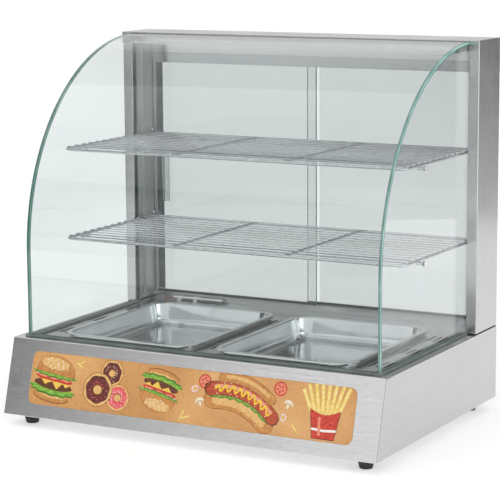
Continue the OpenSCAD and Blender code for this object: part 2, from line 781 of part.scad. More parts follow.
// Channels that take the outer edge of each closed door
module door_jambs() {
    z0 = deck_z + sill_h + 0.5;
    outer = glass_x - 0.2;
    color(dark) for (side = [-1, 1]) on_side(side) {
        block([outer - jamb_in, back_y - sheet - fit - 1.2, z0], [outer, back_y - sheet - fit, head_z - 0.3]);
        block([outer - jamb_in, track_y + 0.2, z0], [outer, track_y + 1.4, head_z - 0.3]);
        block([outer - 1.2, track_y + 0.2, z0], [outer, back_y - sheet - fit, head_z - 0.3]);
    }
}

// Sliding glass door; the left one runs in the inner track
module door(side) {
    y = side < 0 ? inner_y : outer_y;
    color(clear) on_side(side)
        block([-door_overlap / 2, y - door_t / 2, door_z0], [door_edge_x, y + door_t / 2, door_z1]);
}

// Aluminium finger pull stuck to the outside of a door near its outer edge
module door_pull(side) {
    y = (side < 0 ? inner_y : outer_y) + door_t / 2 + 0.02;
    x1 = door_edge_x - jamb_in - 4;
    z = (door_z0 + door_z1) / 2;
    color(steel) on_side(side) {
        block([x1 - 14, y, z - pull_h / 2], [x1, y + 1.2, z + pull_h / 2]);
        block([x1 - 1.6, y, z - pull_h / 2], [x1, y + 4, z + pull_h / 2]);
    }
}

// ---- Shelves, studs and lamp -----------------------------------------------------------

// Wire shelf: border rods, two cross bars and the wires on top
module shelf(z) {
    side_x = shelf_x - rod_d / 2;
    y0 = shelf_y0 + rod_d / 2;
    y1 = shelf_y1 - rod_d / 2;
    end_d = rod_d - 0.4;
    wire_z = z + rod_d / 2 + wire_d / 2 - 0.4;
    inset = 10;
    step = (y1 - y0 - 2 * inset) / (wire_n - 1);
    color(steel) {
        for (x = [-1, 1]) rod_y([x * side_x, shelf_y0, z], rod_d, shelf_l);
        for (y = [y0, y1]) rod_x([-side_x, y, z], end_d, 2 * side_x);
        for (x = [-1, 1]) rod_y([x * shelf_x / 3, y0, z], rod_d - 0.6, y1 - y0);
        for (i = [0:wire_n - 1]) rod_x([-side_x - 1, y0 + inset + i * step, wire_z], wire_d, 2 * side_x + 2);
    }
}

// Studs through the side glass that carry the front of each shelf
module shelf_studs() {
    color(steel) for (side = [-1, 1], z = shelf_heights()) on_side(side) translate([0, stud_y, z - stud_drop]) {
        rod_x([glass_x + 0.05, 0, 0], 7.6, 2);
        rod_x([glass_x - glass_t - 12, 0, 0], 4.9, glass_t + 13);
        rod_x([glass_x - glass_t - 1.6, 0, 0], 8, 1.5);
    }
}

// Pegs on the posts: one under and one over the back of each shelf
module shelf_pins() {
    color(steel) for (side = [-1, 1], z = shelf_heights(), up = [-1, 1]) on_side(side)
        rod_x([shelf_x - rod_d - 2, pin_y, pin_z(z, up)], pin_d, post_x - 0.1 - shelf_x + rod_d + 2);
}

function pin_z(z, up) = z + up * (rod_d / 2 + pin_d / 2 + 0.4) + (up > 0 ? wire_d : 0);

// Lamp tube behind the front beam
module lamp_tube() {
    color("white") rod_x([-half_w + 70, lamp_y(), lamp_z()], lamp_d, case_w - 140);
}

function lamp_y() = post_y + 27;
function lamp_z() = top_z - 8 - lamp_d / 2;

// Sockets at the ends of the lamp tube
module lamp_holders() {
    color("white") for (side = [-1, 1]) on_side(side)
        block([half_w - 70 + 0.2, lamp_y() - 9, lamp_z() - 9], [half_w - 48, lamp_y() + 9, top_z - 6.1]);
}

front_fascia();
side_panel(-1);  // side_panel_left
side_panel(1);  // side_panel_right
back_panel();
bottom_plate();
deck();
heat_box();
picture_panel();
picture_clips();
feet();
foot_screws();
panel_screws();
pan(-1);  // pan_left
pan(1);  // pan_right
heater(-1);  // heater_left
heater(1);  // heater_right
heater_brackets();
thermostat_body();
thermostat_shaft();
thermostat_knob();
sensor_bulb();
sensor_clips();
capillary_tube();
dial_plate();
switch_housing(power_x);  // power_switch_housing
switch_rocker(power_x, "red");  // power_switch_rocker
switch_housing(light_x);  // light_switch_housing
switch_rocker(light_x, "black");  // light_switch_rocker
indicator_lamp();
cable_gland();
gland_nut();
terminal_block();
post(-1);  // post_left
post(1);  // post_right
post_gaskets();
glass_channel(-1);  // glass_channel_left
glass_channel(1);  // glass_channel_right
hood();
hood_liner();
front_beam();
side_glass(-1);  // side_glass_left
side_glass(1);  // side_glass_right
front_glass();
front_gasket();
side_gasket(-1);  // side_gasket_left
side_gasket(1);  // side_gasket_right
glass_clips();
top_door_track();
bottom_door_track();
door_jambs();
door(-1);  // door_left
door(1);  // door_right
door_pull(-1);  // door_pull_left
door_pull(1);  // door_pull_right
shelf(deck_z + upper_shelf_z);  // shelf_upper
shelf(deck_z + lower_shelf_z);  // shelf_lower
shelf_studs();
shelf_pins();
lamp_tube();
lamp_holders();
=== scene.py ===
import math
import bmesh
import bpy
from mathutils import Matrix, Vector
from mathutils.geometry import delaunay_2d_cdt


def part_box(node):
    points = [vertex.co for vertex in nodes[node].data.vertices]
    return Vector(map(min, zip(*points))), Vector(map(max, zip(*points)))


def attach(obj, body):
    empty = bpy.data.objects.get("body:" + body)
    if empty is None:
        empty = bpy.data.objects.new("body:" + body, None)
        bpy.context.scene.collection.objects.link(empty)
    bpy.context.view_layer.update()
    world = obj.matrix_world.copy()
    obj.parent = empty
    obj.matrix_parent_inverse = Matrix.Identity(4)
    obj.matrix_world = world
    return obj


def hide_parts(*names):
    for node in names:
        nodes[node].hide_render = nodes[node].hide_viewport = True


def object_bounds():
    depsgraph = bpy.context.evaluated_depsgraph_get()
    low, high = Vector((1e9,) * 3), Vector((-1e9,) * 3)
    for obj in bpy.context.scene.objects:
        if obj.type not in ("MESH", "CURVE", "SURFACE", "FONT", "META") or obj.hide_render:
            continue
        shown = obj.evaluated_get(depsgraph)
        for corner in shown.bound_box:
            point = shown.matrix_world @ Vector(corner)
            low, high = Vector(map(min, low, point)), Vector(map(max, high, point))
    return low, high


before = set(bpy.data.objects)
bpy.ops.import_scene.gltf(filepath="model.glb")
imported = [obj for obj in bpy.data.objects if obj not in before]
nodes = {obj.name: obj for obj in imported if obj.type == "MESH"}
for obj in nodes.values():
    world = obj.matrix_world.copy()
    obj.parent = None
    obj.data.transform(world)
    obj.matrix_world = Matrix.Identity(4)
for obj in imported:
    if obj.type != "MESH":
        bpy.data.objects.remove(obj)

cad_low, cad_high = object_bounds()
bpy.ops.object.select_all(action="DESELECT")


# ---- Studio -----------------------------------------------------------------
# A pale round floor under a soft white sky. Dark patches at the front and the rear and a bright
# strip at the right give the steel its gradients. A wide soft sun and the camera follow.

def put(tree, kind, links=(), values=(), **settings):
    """Adds a shader node with its settings, linked inputs and fixed inputs."""
    node = tree.nodes.new("ShaderNode" + kind)
    for key, value in settings.items():
        setattr(node, key, value)
    for key, value in dict(values).items():
        node.inputs[key].default_value = value
    for key, socket in dict(links).items():
        tree.links.new(socket, node.inputs[key])
    return node


def math_of(tree, kind, first, second):
    """A Math node on two inputs, each a socket or a number."""
    node = put(tree, "Math", operation=kind)
    for index, item in enumerate((first, second)):
        if isinstance(item, bpy.types.NodeSocket):
            tree.links.new(item, node.inputs[index])
        else:
            node.inputs[index].default_value = item
    return node.outputs[0]


def ramp(tree, value, stops):
    """A Color Ramp through (position, colour) stops; a number stands for a grey."""
    node = put(tree, "ValToRGB", {"Fac": value})
    elements = node.color_ramp.elements
    while len(elements) < len(stops):
        elements.new(0.5)
    for element, (position, colour) in zip(elements, stops):
        element.position = position
        element.color = (*colour, 1) if isinstance(colour, tuple) else (colour, colour, colour, 1)
    return node.outputs["Color"]


scene = bpy.context.scene
scene.view_settings.view_transform = "Standard"
scene.view_settings.look = "None"

world = bpy.data.worlds.new("studio")
scene.world = world
world.use_nodes = True
sky = world.node_tree
sky.nodes.clear()
toward = put(sky, "TexCoord").outputs["Generated"]
level = put(sky, "SeparateXYZ", {0: toward}).outputs["Z"]
level = math_of(sky, "ADD", math_of(sky, "MULTIPLY", level, 0.5), 0.5)
flat = put(sky, "VectorMath", {0: toward}, {1: (1, 1, 0)}, operation="MULTIPLY").outputs[0]
flat = put(sky, "VectorMath", {0: flat}, operation="NORMALIZE").outputs[0]


def dark_side(bearing, near, far, levels, depth):
    """A soft dark patch of sky: bearing and half widths in degrees from the front, four levels of
    height, and its depth. A depth below zero makes a bright patch."""
    angle = math.radians(bearing)
    facing = put(sky, "VectorMath", {0: flat}, {1: (math.sin(angle), -math.cos(angle), 0)},
                 operation="DOT_PRODUCT").outputs["Value"]
    spread = ramp(sky, facing, [(math.cos(math.radians(far)), 0.0), (math.cos(math.radians(near)), 1.0)])
    rise = ramp(sky, level, [(z * 0.5 + 0.5, v) for z, v in zip(levels, (0.0, 1.0, 1.0, 0.0))])
    return math_of(sky, "MULTIPLY", math_of(sky, "MULTIPLY", spread, rise), depth)


SKY_STOPS = [(0.0, 1.04), (0.5, 1.06), (0.56, 1.15), (0.68, 1.1), (0.82, 0.66), (1.0, 0.55)]
SKY_PATCHES = ((-58, 22, 28, (-0.25, -0.15, 0.45, 0.8), 1.0), (168, 12, 25, (-0.23, -0.05, 0.4, 0.75), 0.95),
               (-15, 6, 12, (-0.3, -0.16, 0.02, 0.14), 0.6), (-148, 20, 32, (0.02, 0.09, 0.3, 0.5), 0.42),
               (78, 8, 22, (-0.3, -0.1, 0.6, 0.9), -0.9))
brightness = ramp(sky, level, SKY_STOPS)
shade = 0.0
for patch in SKY_PATCHES:
    shade = math_of(sky, "ADD", dark_side(*patch), shade)
brightness = math_of(sky, "MULTIPLY", brightness, math_of(sky, "SUBTRACT", 1.0, shade))
sky_light = put(sky, "Background", {"Strength": brightness}, {"Color": (1.0, 1.0, 1.0, 1)})
put(sky, "OutputWorld", {"Surface": sky_light.outputs[0]})

floor_radius = 2.4
bpy.ops.mesh.primitive_circle_add(vertices=96, radius=floor_radius, fill_type="NGON")
floor = bpy.context.object
floor.name = "floor"
pale = bpy.data.materials.new("pale_floor")
pale.use_nodes = True
for socket, value in (("Base Color", (0.8, 0.8, 0.8, 1)), ("Roughness", 0.7),
                      ("Emission Color", (1, 1, 1, 1)), ("Emission Strength", 0.42)):
    pale.node_tree.nodes["Principled BSDF"].inputs[socket].default_value = value
floor.data.materials.append(pale)

bpy.ops.object.light_add(type="SUN", rotation=(math.radians(24), math.radians(-16), 0))
sun = bpy.context.object
sun.name = "soft_sun"
sun.data.energy = 0.55
sun.data.angle = math.radians(70)

camera_at, camera_lens = Vector((1.5212, -2.7981, 0.8065)), 144.18
camera_turn, camera_tilt, camera_roll = (math.radians(a) for a in (28.67, 9.52, -0.40))
camera_data = bpy.data.cameras.new("camera")
camera_data.lens = camera_lens
camera = bpy.data.objects.new("camera", camera_data)
scene.collection.objects.link(camera)
camera.matrix_world = (Matrix.Translation(camera_at) @ Matrix.Rotation(camera_turn, 4, "Z")
                       @ Matrix.Rotation(math.pi / 2 - camera_tilt, 4, "X")
                       @ Matrix.Rotation(camera_roll, 4, "Z"))
scene.camera = camera


# ---- Sheet metal base ---------------------------------------------------------
# The fascia, side panels, deck, back cover and floor are folded 1 mm stainless sheet with a
# brushed face. The grain runs along each sheet, and each fold has a small bright radius.

def effect(name, inputs, outputs):
    """A shader node group and its two ends. Inputs give a name, a kind and a first value."""
    group = bpy.data.node_groups.new(name, "ShaderNodeTree")
    for label, kind, value in inputs:
        socket = group.interface.new_socket(name=label, in_out="INPUT", socket_type="NodeSocket" + kind)
        if value is not None:
            socket.default_value = value
    for label, kind in outputs:
        group.interface.new_socket(name=label, in_out="OUTPUT", socket_type="NodeSocket" + kind)
    return group, group.nodes.new("NodeGroupInput"), group.nodes.new("NodeGroupOutput")


def noise(tree, place, scale, detail=2.0, roughness=0.5):
    """A noise value at a place."""
    return put(tree, "TexNoise", {"Vector": place},
               {"Scale": scale, "Detail": detail, "Roughness": roughness}).outputs[0]


grain, source, result = effect(
    "brushed_grain", [("Vector", "Vector", None), ("Fineness", "Float", 1800.0), ("Length", "Float", 60.0)],
    [("Streak", "Float"), ("Height", "Float")])
across = source.outputs["Fineness"]
along = math_of(grain, "DIVIDE", across, source.outputs["Length"])
stretch = put(grain, "CombineXYZ", {"X": along, "Y": across, "Z": across}).outputs[0]
lines = put(grain, "VectorMath", {0: source.outputs["Vector"], 1: stretch}, operation="MULTIPLY").outputs[0]
fine = noise(grain, lines, 1.0, 2.0, 0.6)
broad = noise(grain, lines, 0.16, 3.0, 0.7)
streak = math_of(grain, "ADD", math_of(grain, "MULTIPLY", fine, 0.4), math_of(grain, "MULTIPLY", broad, 0.6))
grain.links.new(streak, result.inputs["Streak"])
grain.links.new(fine, result.inputs["Height"])

haze, source, result = effect("wiped_haze", [("Vector", "Vector", None), ("Size", "Float", 9.0)], [("Haze", "Float")])
cloud = put(haze, "TexNoise", {"Vector": source.outputs["Vector"], "Scale": source.outputs["Size"]},
            {"Detail": 3.0, "Roughness": 0.55, "Distortion": 0.4})
haze.links.new(cloud.outputs[0], result.inputs["Haze"])


def use(tree, group, place, **values):
    """Places a shader node group in a material, on the piece's coordinates."""
    node = put(tree, "Group", node_tree=group)
    tree.links.new(place, node.inputs["Vector"])
    for key, value in values.items():
        node.inputs[key].default_value = value
    return node


def new_finish(name, metal=0.0):
    """A material, its node tree, its shader and the piece's own coordinates."""
    material = bpy.data.materials.new(name)
    material.use_nodes = True
    tree = material.node_tree
    shader = tree.nodes["Principled BSDF"]
    shader.inputs["Metallic"].default_value = metal
    return material, tree, shader, put(tree, "TexCoord").outputs["Object"]


def lay(tree, shader, value, stops, rough):
    """Links a noise value to the colour of a finish, by a ramp, and to its roughness, over a range."""
    tree.links.new(ramp(tree, value, stops), shader.inputs["Base Color"])
    tree.links.new(spread_to(tree, value, *rough), shader.inputs["Roughness"])


def spread_to(tree, value, low, high):
    """Spreads a noise value, which stays near a half, over a range."""
    return put(tree, "MapRange", {"Value": value},
               {"From Min": 0.3, "From Max": 0.7, "To Min": low, "To Max": high}).outputs[0]


def relief(tree, shader, height, depth):
    """Raises the surface by a height, through the normal."""
    bump = put(tree, "Bump", {"Height": height}, {"Strength": 1.0, "Distance": depth})
    tree.links.new(bump.outputs[0], shader.inputs["Normal"])


GRAIN_TURN = {"X": (0, 0, 0), "Y": (0, 0, math.pi / 2), "Z": (0, math.pi / 2, 0)}


def brushed_steel(name, axis, tone=0.6, rough=0.2, depth=0.00012):
    """Stainless sheet brushed along an axis, with a faint wiped haze over its gloss."""
    material, tree, shader, place = new_finish(name, metal=1.0)
    aligned = put(tree, "Mapping", {"Vector": place}, {"Rotation": GRAIN_TURN[axis]}).outputs[0]
    brush = use(tree, grain, aligned)
    wiped = use(tree, haze, place).outputs["Haze"]
    tree.links.new(ramp(tree, brush.outputs["Streak"], [(0.3, tone * 0.93), (0.7, tone * 1.05)]),
                   shader.inputs["Base Color"])
    tree.links.new(math_of(tree, "ADD", spread_to(tree, wiped, -0.03, 0.05), rough), shader.inputs["Roughness"])
    relief(tree, shader, brush.outputs["Height"], depth)
    return material


steel_across = brushed_steel("brushed_steel_across", "X", tone=0.68, rough=0.15)
steel_side = brushed_steel("brushed_steel_side", "Y", tone=0.57)


def deselect():
    bpy.ops.object.select_all(action="DESELECT")


def hold(piece):
    """Leaves one piece selected and active."""
    deselect()
    piece.select_set(True)
    bpy.context.view_layer.objects.active = piece


def settle():
    """Takes the place, turn and scale of the held piece into its mesh."""
    bpy.ops.object.transform_apply(location=True, rotation=True, scale=True)


def choose(kind, action="DESELECT"):
    """In edit mode, selects all or none of the points, edges or faces."""
    bpy.ops.mesh.select_mode(type=kind)
    bpy.ops.mesh.select_all(action=action)


def open_mesh(kind, action="DESELECT"):
    """Goes into edit mode on the held piece, with all or none of it selected."""
    bpy.ops.object.mode_set(mode="EDIT")
    choose(kind, action)


def close_mesh():
    bpy.ops.object.mode_set(mode="OBJECT")


def pick(piece, kind, wanted):
    """In edit mode, selects the edges or the faces that pass a test."""
    mesh = bmesh.from_edit_mesh(piece.data)
    for part in getattr(mesh, kind):
        part.select = wanted(part)
    bmesh.update_edit_mesh(piece.data)


def worked(piece, kind, **settings):
    """Finishes the held piece with a modifier and applies it."""
    step = piece.modifiers.new(kind.lower(), kind)
    for key, value in settings.items():
        setattr(step, key, value)
    bpy.ops.object.modifier_apply(modifier=step.name)


def copy_of(node, name):
    """A merged copy of a CAD node's mesh, ready to be shaped."""
    piece = bpy.data.objects.new(name, nodes[node].data.copy())
    piece.data.materials.clear()
    scene.collection.objects.link(piece)
    hold(piece)
    open_mesh("VERT", "SELECT")
    bpy.ops.mesh.remove_doubles(threshold=1e-6)
    bpy.ops.mesh.dissolve_limited(angle_limit=math.radians(0.4))
    bpy.ops.mesh.select_all(action="DESELECT")
    close_mesh()
    return piece


def round_folds(piece, wanted, radius):
    """Rounds the folds of a sheet, which are the edges whose ends pass a test on place."""
    open_mesh("EDGE")
    pick(piece, "edges", lambda edge: all(wanted(vertex.co) for vertex in edge.verts))
    bpy.ops.mesh.bevel(offset=radius, segments=4, affect="EDGES", clamp_overlap=True)
    close_mesh()


def soften(piece, width, segments=2, angle=40):
    """Breaks the sharp edges of a piece by a small bevel."""
    worked(piece, "BEVEL", width=width, segments=segments, limit_method="ANGLE",
           angle_limit=math.radians(angle), harden_normals=False)


def finish_piece(piece, material, slot, stands_for=(), body="root", smooth=55):
    """Gives a piece its finish and smooth shading, with flats kept flat, and sets it on its body."""
    if material:
        piece.data.materials.clear()
        piece.data.materials.append(material)
    hold(piece)
    bpy.ops.object.shade_smooth_by_angle(angle=math.radians(smooth))
    if smooth > 30:
        worked(piece, "WEIGHTED_NORMAL", keep_sharp=True)
    deselect()
    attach(piece, body)
    if stands_for:
        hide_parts(*stands_for)
    return piece


def dressed(node, name, material, slot, width=0.0, segments=2, angle=40, **finish):
    """A CAD node's copy with softened edges and its finish. A name that starts with _ is an ending."""
    piece = copy_of(node, node + name if name[0] == "_" else name)
    if width:
        soften(piece, width, segments, angle)
    return finish_piece(piece, material, slot, [node], **finish)


def near(value, target, gap=0.0004):
    return abs(value - target) < gap


sheet, sheet_edge, fold_radius, end_gap = 0.001, 0.00025, 0.0012, 0.0008
base_low, base_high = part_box("side_panel_right")
fascia_low, fascia_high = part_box("front_fascia")
half_width = base_high.x
deck_level = base_high.z
fascia_set_back, fascia_height = 0.034, 0.120
fascia_top_y = fascia_set_back + fascia_low.y

fascia = copy_of("front_fascia", "front_fascia_steel")
for vertex in fascia.data.vertices:
    if abs(vertex.co.x) > fascia_high.x - end_gap / 2:
        vertex.co.x -= math.copysign(end_gap, vertex.co.x)
round_folds(fascia, lambda p: near(p.y, fascia_top_y) and near(p.z, deck_level), fold_radius)
round_folds(fascia, lambda p: near(p.y, fascia_low.y) and near(p.z, fascia_low.z), fold_radius)
soften(fascia, sheet_edge)
finish_piece(fascia, steel_across, "brushed_steel", ["front_fascia"])

for side, name in ((-1, "side_panel_left"), (1, "side_panel_right")):
    panel = copy_of(name, name + "_steel")
    for level in (deck_level, base_low.z):
        round_folds(panel, lambda p: near(p.x, side * half_width) and near(p.z, level), fold_radius)
    soften(panel, sheet_edge)
    finish_piece(panel, steel_side, "brushed_steel", [name])

deck_steel = brushed_steel("brushed_steel_deck", "X", tone=0.36, rough=0.15, depth=0.00004)
dressed("deck", "_steel", deck_steel, "brushed_steel", 0.0003)
for name in ("back_panel", "bottom_plate", "picture_clips"):
    dressed(name, "_steel", steel_across, "brushed_steel", sheet_edge)
for name in ("heat_box", "heater_brackets"):
    dull_steel = brushed_steel(name + "_sheet", "X", tone=0.22, rough=0.45)
    dressed(name, "_steel", dull_steel, "brushed_steel", sheet_edge)


# ---- Picture panel --------------------------------------------------------------
# A 3 mm acrylic sheet in warm orange behind the window, with a film of printed snacks on its
# front face. Each picture is one flat film cut into patches of its ink colours.

fascia_lean = math.atan2(fascia_set_back, fascia_height)
window_rise = fascia_height / math.cos(fascia_lean) / 2 + 0.0015
sheet_sunk, film_off, film_thick = 0.0012, 0.00003, 0.00004

acrylic, tree, shader, place = new_finish("orange_acrylic")
clouds = use(tree, haze, place, Size=7.0).outputs["Haze"]
specks = noise(tree, place, 160.0, 3.0)
mix_of = math_of(tree, "ADD", math_of(tree, "MULTIPLY", clouds, 0.93), math_of(tree, "MULTIPLY", specks, 0.07))
amber = [(0.34, (0.58, 0.275, 0.085)), (0.5, (0.66, 0.33, 0.11)), (0.66, (0.76, 0.42, 0.16))]
tree.links.new(ramp(tree, mix_of, amber), shader.inputs["Base Color"])
tree.links.new(spread_to(tree, specks, 0.24, 0.36), shader.inputs["Roughness"])
shader.inputs["Coat Weight"].default_value = 0.3
dressed("picture_panel", "_acrylic", acrylic, "picture", 0.0003)


def ink(name, dark, light, size=220.0):
    """Printed colour with a little mottle, lighter where the ink is thin."""
    material, tree, shader, place = new_finish("ink_" + name)
    mottle = noise(tree, place, size, 4.0, 0.6)
    lay(tree, shader, mottle, [(0.36, dark), (0.64, light)], (0.28, 0.4))
    return material


INKS = {name: ink(name, *shades) for name, *shades in (
    ("crust", (0.5, 0.2, 0.05), (0.68, 0.33, 0.1)),
    ("crust_light", (0.72, 0.4, 0.13), (0.85, 0.55, 0.22)),
    ("crust_edge", (0.28, 0.09, 0.02), (0.4, 0.15, 0.04)),
    ("cream", (0.82, 0.72, 0.5), (0.93, 0.87, 0.7)),
    ("leaf", (0.12, 0.33, 0.03), (0.34, 0.6, 0.08), 300.0),
    ("leaf_dark", (0.05, 0.16, 0.02), (0.1, 0.26, 0.03)),
    ("tomato", (0.5, 0.03, 0.02), (0.7, 0.08, 0.04)),
    ("tomato_light", (0.78, 0.2, 0.12), (0.88, 0.34, 0.22)),
    ("meat", (0.08, 0.02, 0.01), (0.2, 0.07, 0.03), 400.0),
    ("cheese", (0.85, 0.5, 0.05), (0.95, 0.66, 0.14)),
    ("onion", (0.75, 0.45, 0.5), (0.95, 0.85, 0.86)),
    ("cocoa", (0.1, 0.02, 0.015), (0.2, 0.04, 0.03)),
    ("berry", (0.7, 0.06, 0.08), (0.85, 0.2, 0.2)),
    ("sausage", (0.42, 0.05, 0.02), (0.6, 0.12, 0.05)),
    ("sausage_light", (0.75, 0.3, 0.16), (0.85, 0.42, 0.26)),
    ("mustard", (0.85, 0.5, 0.02), (0.95, 0.68, 0.06)),
    ("potato", (0.85, 0.6, 0.12), (0.97, 0.8, 0.35)),
    ("potato_dark", (0.62, 0.36, 0.05), (0.75, 0.48, 0.1)),
    ("white", (0.82, 0.8, 0.76), (0.93, 0.92, 0.9)),
)}


def oval(u, v, width, height, turn=0.0, sides=28, wave=0.0, waves=0):
    """Outline of an oval, with a wavy edge where wave is given."""
    turn = math.radians(turn)
    points = []
    for k in range(sides):
        a = 2 * math.pi * k / sides
        swell = 1 + wave * math.sin(waves * a)
        x, y = width / 2 * math.cos(a) * swell, height / 2 * math.sin(a) * swell
        points.append((u + x * math.cos(turn) - y * math.sin(turn), v + x * math.sin(turn) + y * math.cos(turn)))
    return points


def band(path, width):
    """Outline of a stroke of one width along a path, with round ends."""
    left, right = [], []
    for k, (x, y) in enumerate(path):
        x0, y0 = path[max(k - 1, 0)]
        x1, y1 = path[min(k + 1, len(path) - 1)]
        length = math.hypot(x1 - x0, y1 - y0)
        nx, ny = -(y1 - y0) / length * width / 2, (x1 - x0) / length * width / 2
        left.append((x + nx, y + ny))
        right.append((x - nx, y - ny))
    ends = []
    for (x, y), (x1, y1) in ((path[-1], path[-2]), (path[0], path[1])):
        facing = math.atan2(y - y1, x - x1)
        ends.append([(x + width / 2 * math.cos(facing + a), y + width / 2 * math.sin(facing + a))
                     for a in (math.pi / 4, 0, -math.pi / 4)])
    return left + ends[0] + right[::-1] + ends[1]


def turned(outline, centre, angle):
    """An outline turned about a centre, in degrees."""
    a = math.radians(angle)
    return [(centre[0] + (x - centre[0]) * math.cos(a) - (y - centre[1]) * math.sin(a),
             centre[1] + (x - centre[0]) * math.sin(a) + (y - centre[1]) * math.cos(a)) for x, y in outline]


def print_film(name, patches):
    """One printed picture as one flat film. Where patches of ink overlap, the last one laid shows."""
    points, rings = [], []
    for outline, colour in patches:
        turn = sum(x0 * y1 - x1 * y0 for (x0, y0), (x1, y1) in zip(outline, outline[1:] + outline[:1]))
        ring = outline if turn > 0 else outline[::-1]
        rings.append(list(range(len(points), len(points) + len(ring))))
        points += [Vector(point) for point in ring]
    spots, edges, faces, _, _, covered_by = delaunay_2d_cdt(points, [], rings, 1, 1e-7)
    colours = sorted({colour for outline, colour in patches})
    shown = [(face, patches[max(above)][1]) for face, above in zip(faces, covered_by) if above]
    mesh = bpy.data.meshes.new(name)
    mesh.from_pydata([(x, y, 0) for x, y in spots], [], [face for face, colour in shown])
    for polygon, (face, colour) in zip(mesh.polygons, shown):
        polygon.material_index = colours.index(colour)
    film = bpy.data.objects.new(name, mesh)
    scene.collection.objects.link(film)
    for colour in colours:
        film.data.materials.append(INKS[colour])
    hold(film)
    worked(film, "SOLIDIFY", thickness=film_thick, offset=1.0)
    film.rotation_euler = (math.pi / 2 - fascia_lean, 0, 0)
    foot = Vector((0, fascia_low.y, fascia_low.z))
    up = Vector((0, math.sin(fascia_lean), math.cos(fascia_lean)))
    out = Vector((0, -math.cos(fascia_lean), math.sin(fascia_lean)))
    film.location = foot + up * window_rise + out * (film_off - sheet_sunk)
    settle()
    finish_piece(film, None, "picture", smooth=20)


GOLDEN_TURN = 2.39996


def spread_seeds(count, u, v, width, height, seed):
    """Small seeds spread evenly inside a dome."""
    spots = []
    for k in range(count):
        reach = math.sqrt((k + 0.5) / count) * 0.46
        a = k * GOLDEN_TURN + seed
        spots.append((u + width * reach * math.cos(a), v + height * reach * math.sin(a), math.degrees(a) * 1.7))
    return spots


def burger(u, v, size, angle):
    """A bun with leaves, tomato, cheese, meat and onion, drawn upright and then turned."""
    parts = []

    def add(outline, colour):
        parts.append((turned([(u + x * size, v + y * size) for x, y in outline], (u, v), angle), colour))

    add(oval(0, -0.33, 0.86, 0.26), "crust_edge")
    add(oval(0, -0.32, 0.83, 0.23), "crust")
    add(oval(0.02, -0.29, 0.7, 0.13), "crust_light")
    add(oval(0, -0.2, 1.04, 0.24, wave=0.09, waves=11, sides=66), "leaf_dark")
    add(oval(0, -0.18, 1.0, 0.2, wave=0.1, waves=11, sides=66), "leaf")
    add(oval(0, -0.1, 0.92, 0.2), "meat")
    add(oval(0.02, -0.06, 0.8, 0.1), "cocoa")
    add([(-0.4, -0.02), (0.42, -0.02), (0.3, -0.1), (0.22, -0.03), (0.1, -0.17), (-0.04, -0.03),
         (-0.2, -0.12), (-0.3, -0.03)], "cheese")
    for x in (-0.27, 0, 0.27):
        add(oval(x, 0.03, 0.34, 0.11), "tomato")
        add(oval(x, 0.045, 0.24, 0.05), "tomato_light")
    for x in (-0.42, -0.19, 0.04, 0.27):
        add(band([(x, 0.07), (x + 0.08, 0.115), (x + 0.17, 0.08)], 0.035), "onion")
    add(oval(0, 0.11, 1.0, 0.13, wave=0.12, waves=13, sides=78), "leaf_dark")
    add(oval(0, 0.12, 0.96, 0.1, wave=0.14, waves=13, sides=78), "leaf")
    dome = [(0.45 * math.cos(a), 0.13 + 0.36 * math.sin(a) ** 0.85)
            for a in [math.pi * k / 24 for k in range(25)]]
    add([(x * 1.03, (y - 0.13) * 1.04 + 0.12) for x, y in dome], "crust_edge")
    add(dome, "crust")
    add(oval(-0.05, 0.33, 0.66, 0.24), "crust_light")
    for x, y, a in spread_seeds(22, -0.02, 0.32, 0.72, 0.26, 0.4):
        add(oval(x, y, 0.042, 0.022, a, sides=8), "cream")
    return parts


def ring_cake(u, v, s, icing, topping, seed):
    """A ring doughnut of a size from above, iced, with strokes or crumbs on the icing."""
    parts = [(oval(u, v, s * 1.04, s * 1.04), "crust_edge"), (oval(u, v, s, s), "crust_light"),
             (oval(u, v, s * 0.84, s * 0.84, wave=0.035, waves=7, sides=56), icing)]
    for k in range(16):
        a = k * GOLDEN_TURN + seed
        r = s * (0.2 + 0.17 * ((k * 7) % 5) / 5)
        crumb = oval(u + r * math.cos(a), v + r * math.sin(a), s * 0.07, s * 0.025, math.degrees(a) * 2.3, sides=8)
        parts.append((crumb, topping))
    return parts + [(oval(u, v, s * 0.33, s * 0.31), "crust_edge"),
                    (oval(u, v - s * 0.012, s * 0.29, s * 0.26), "crust_light")]


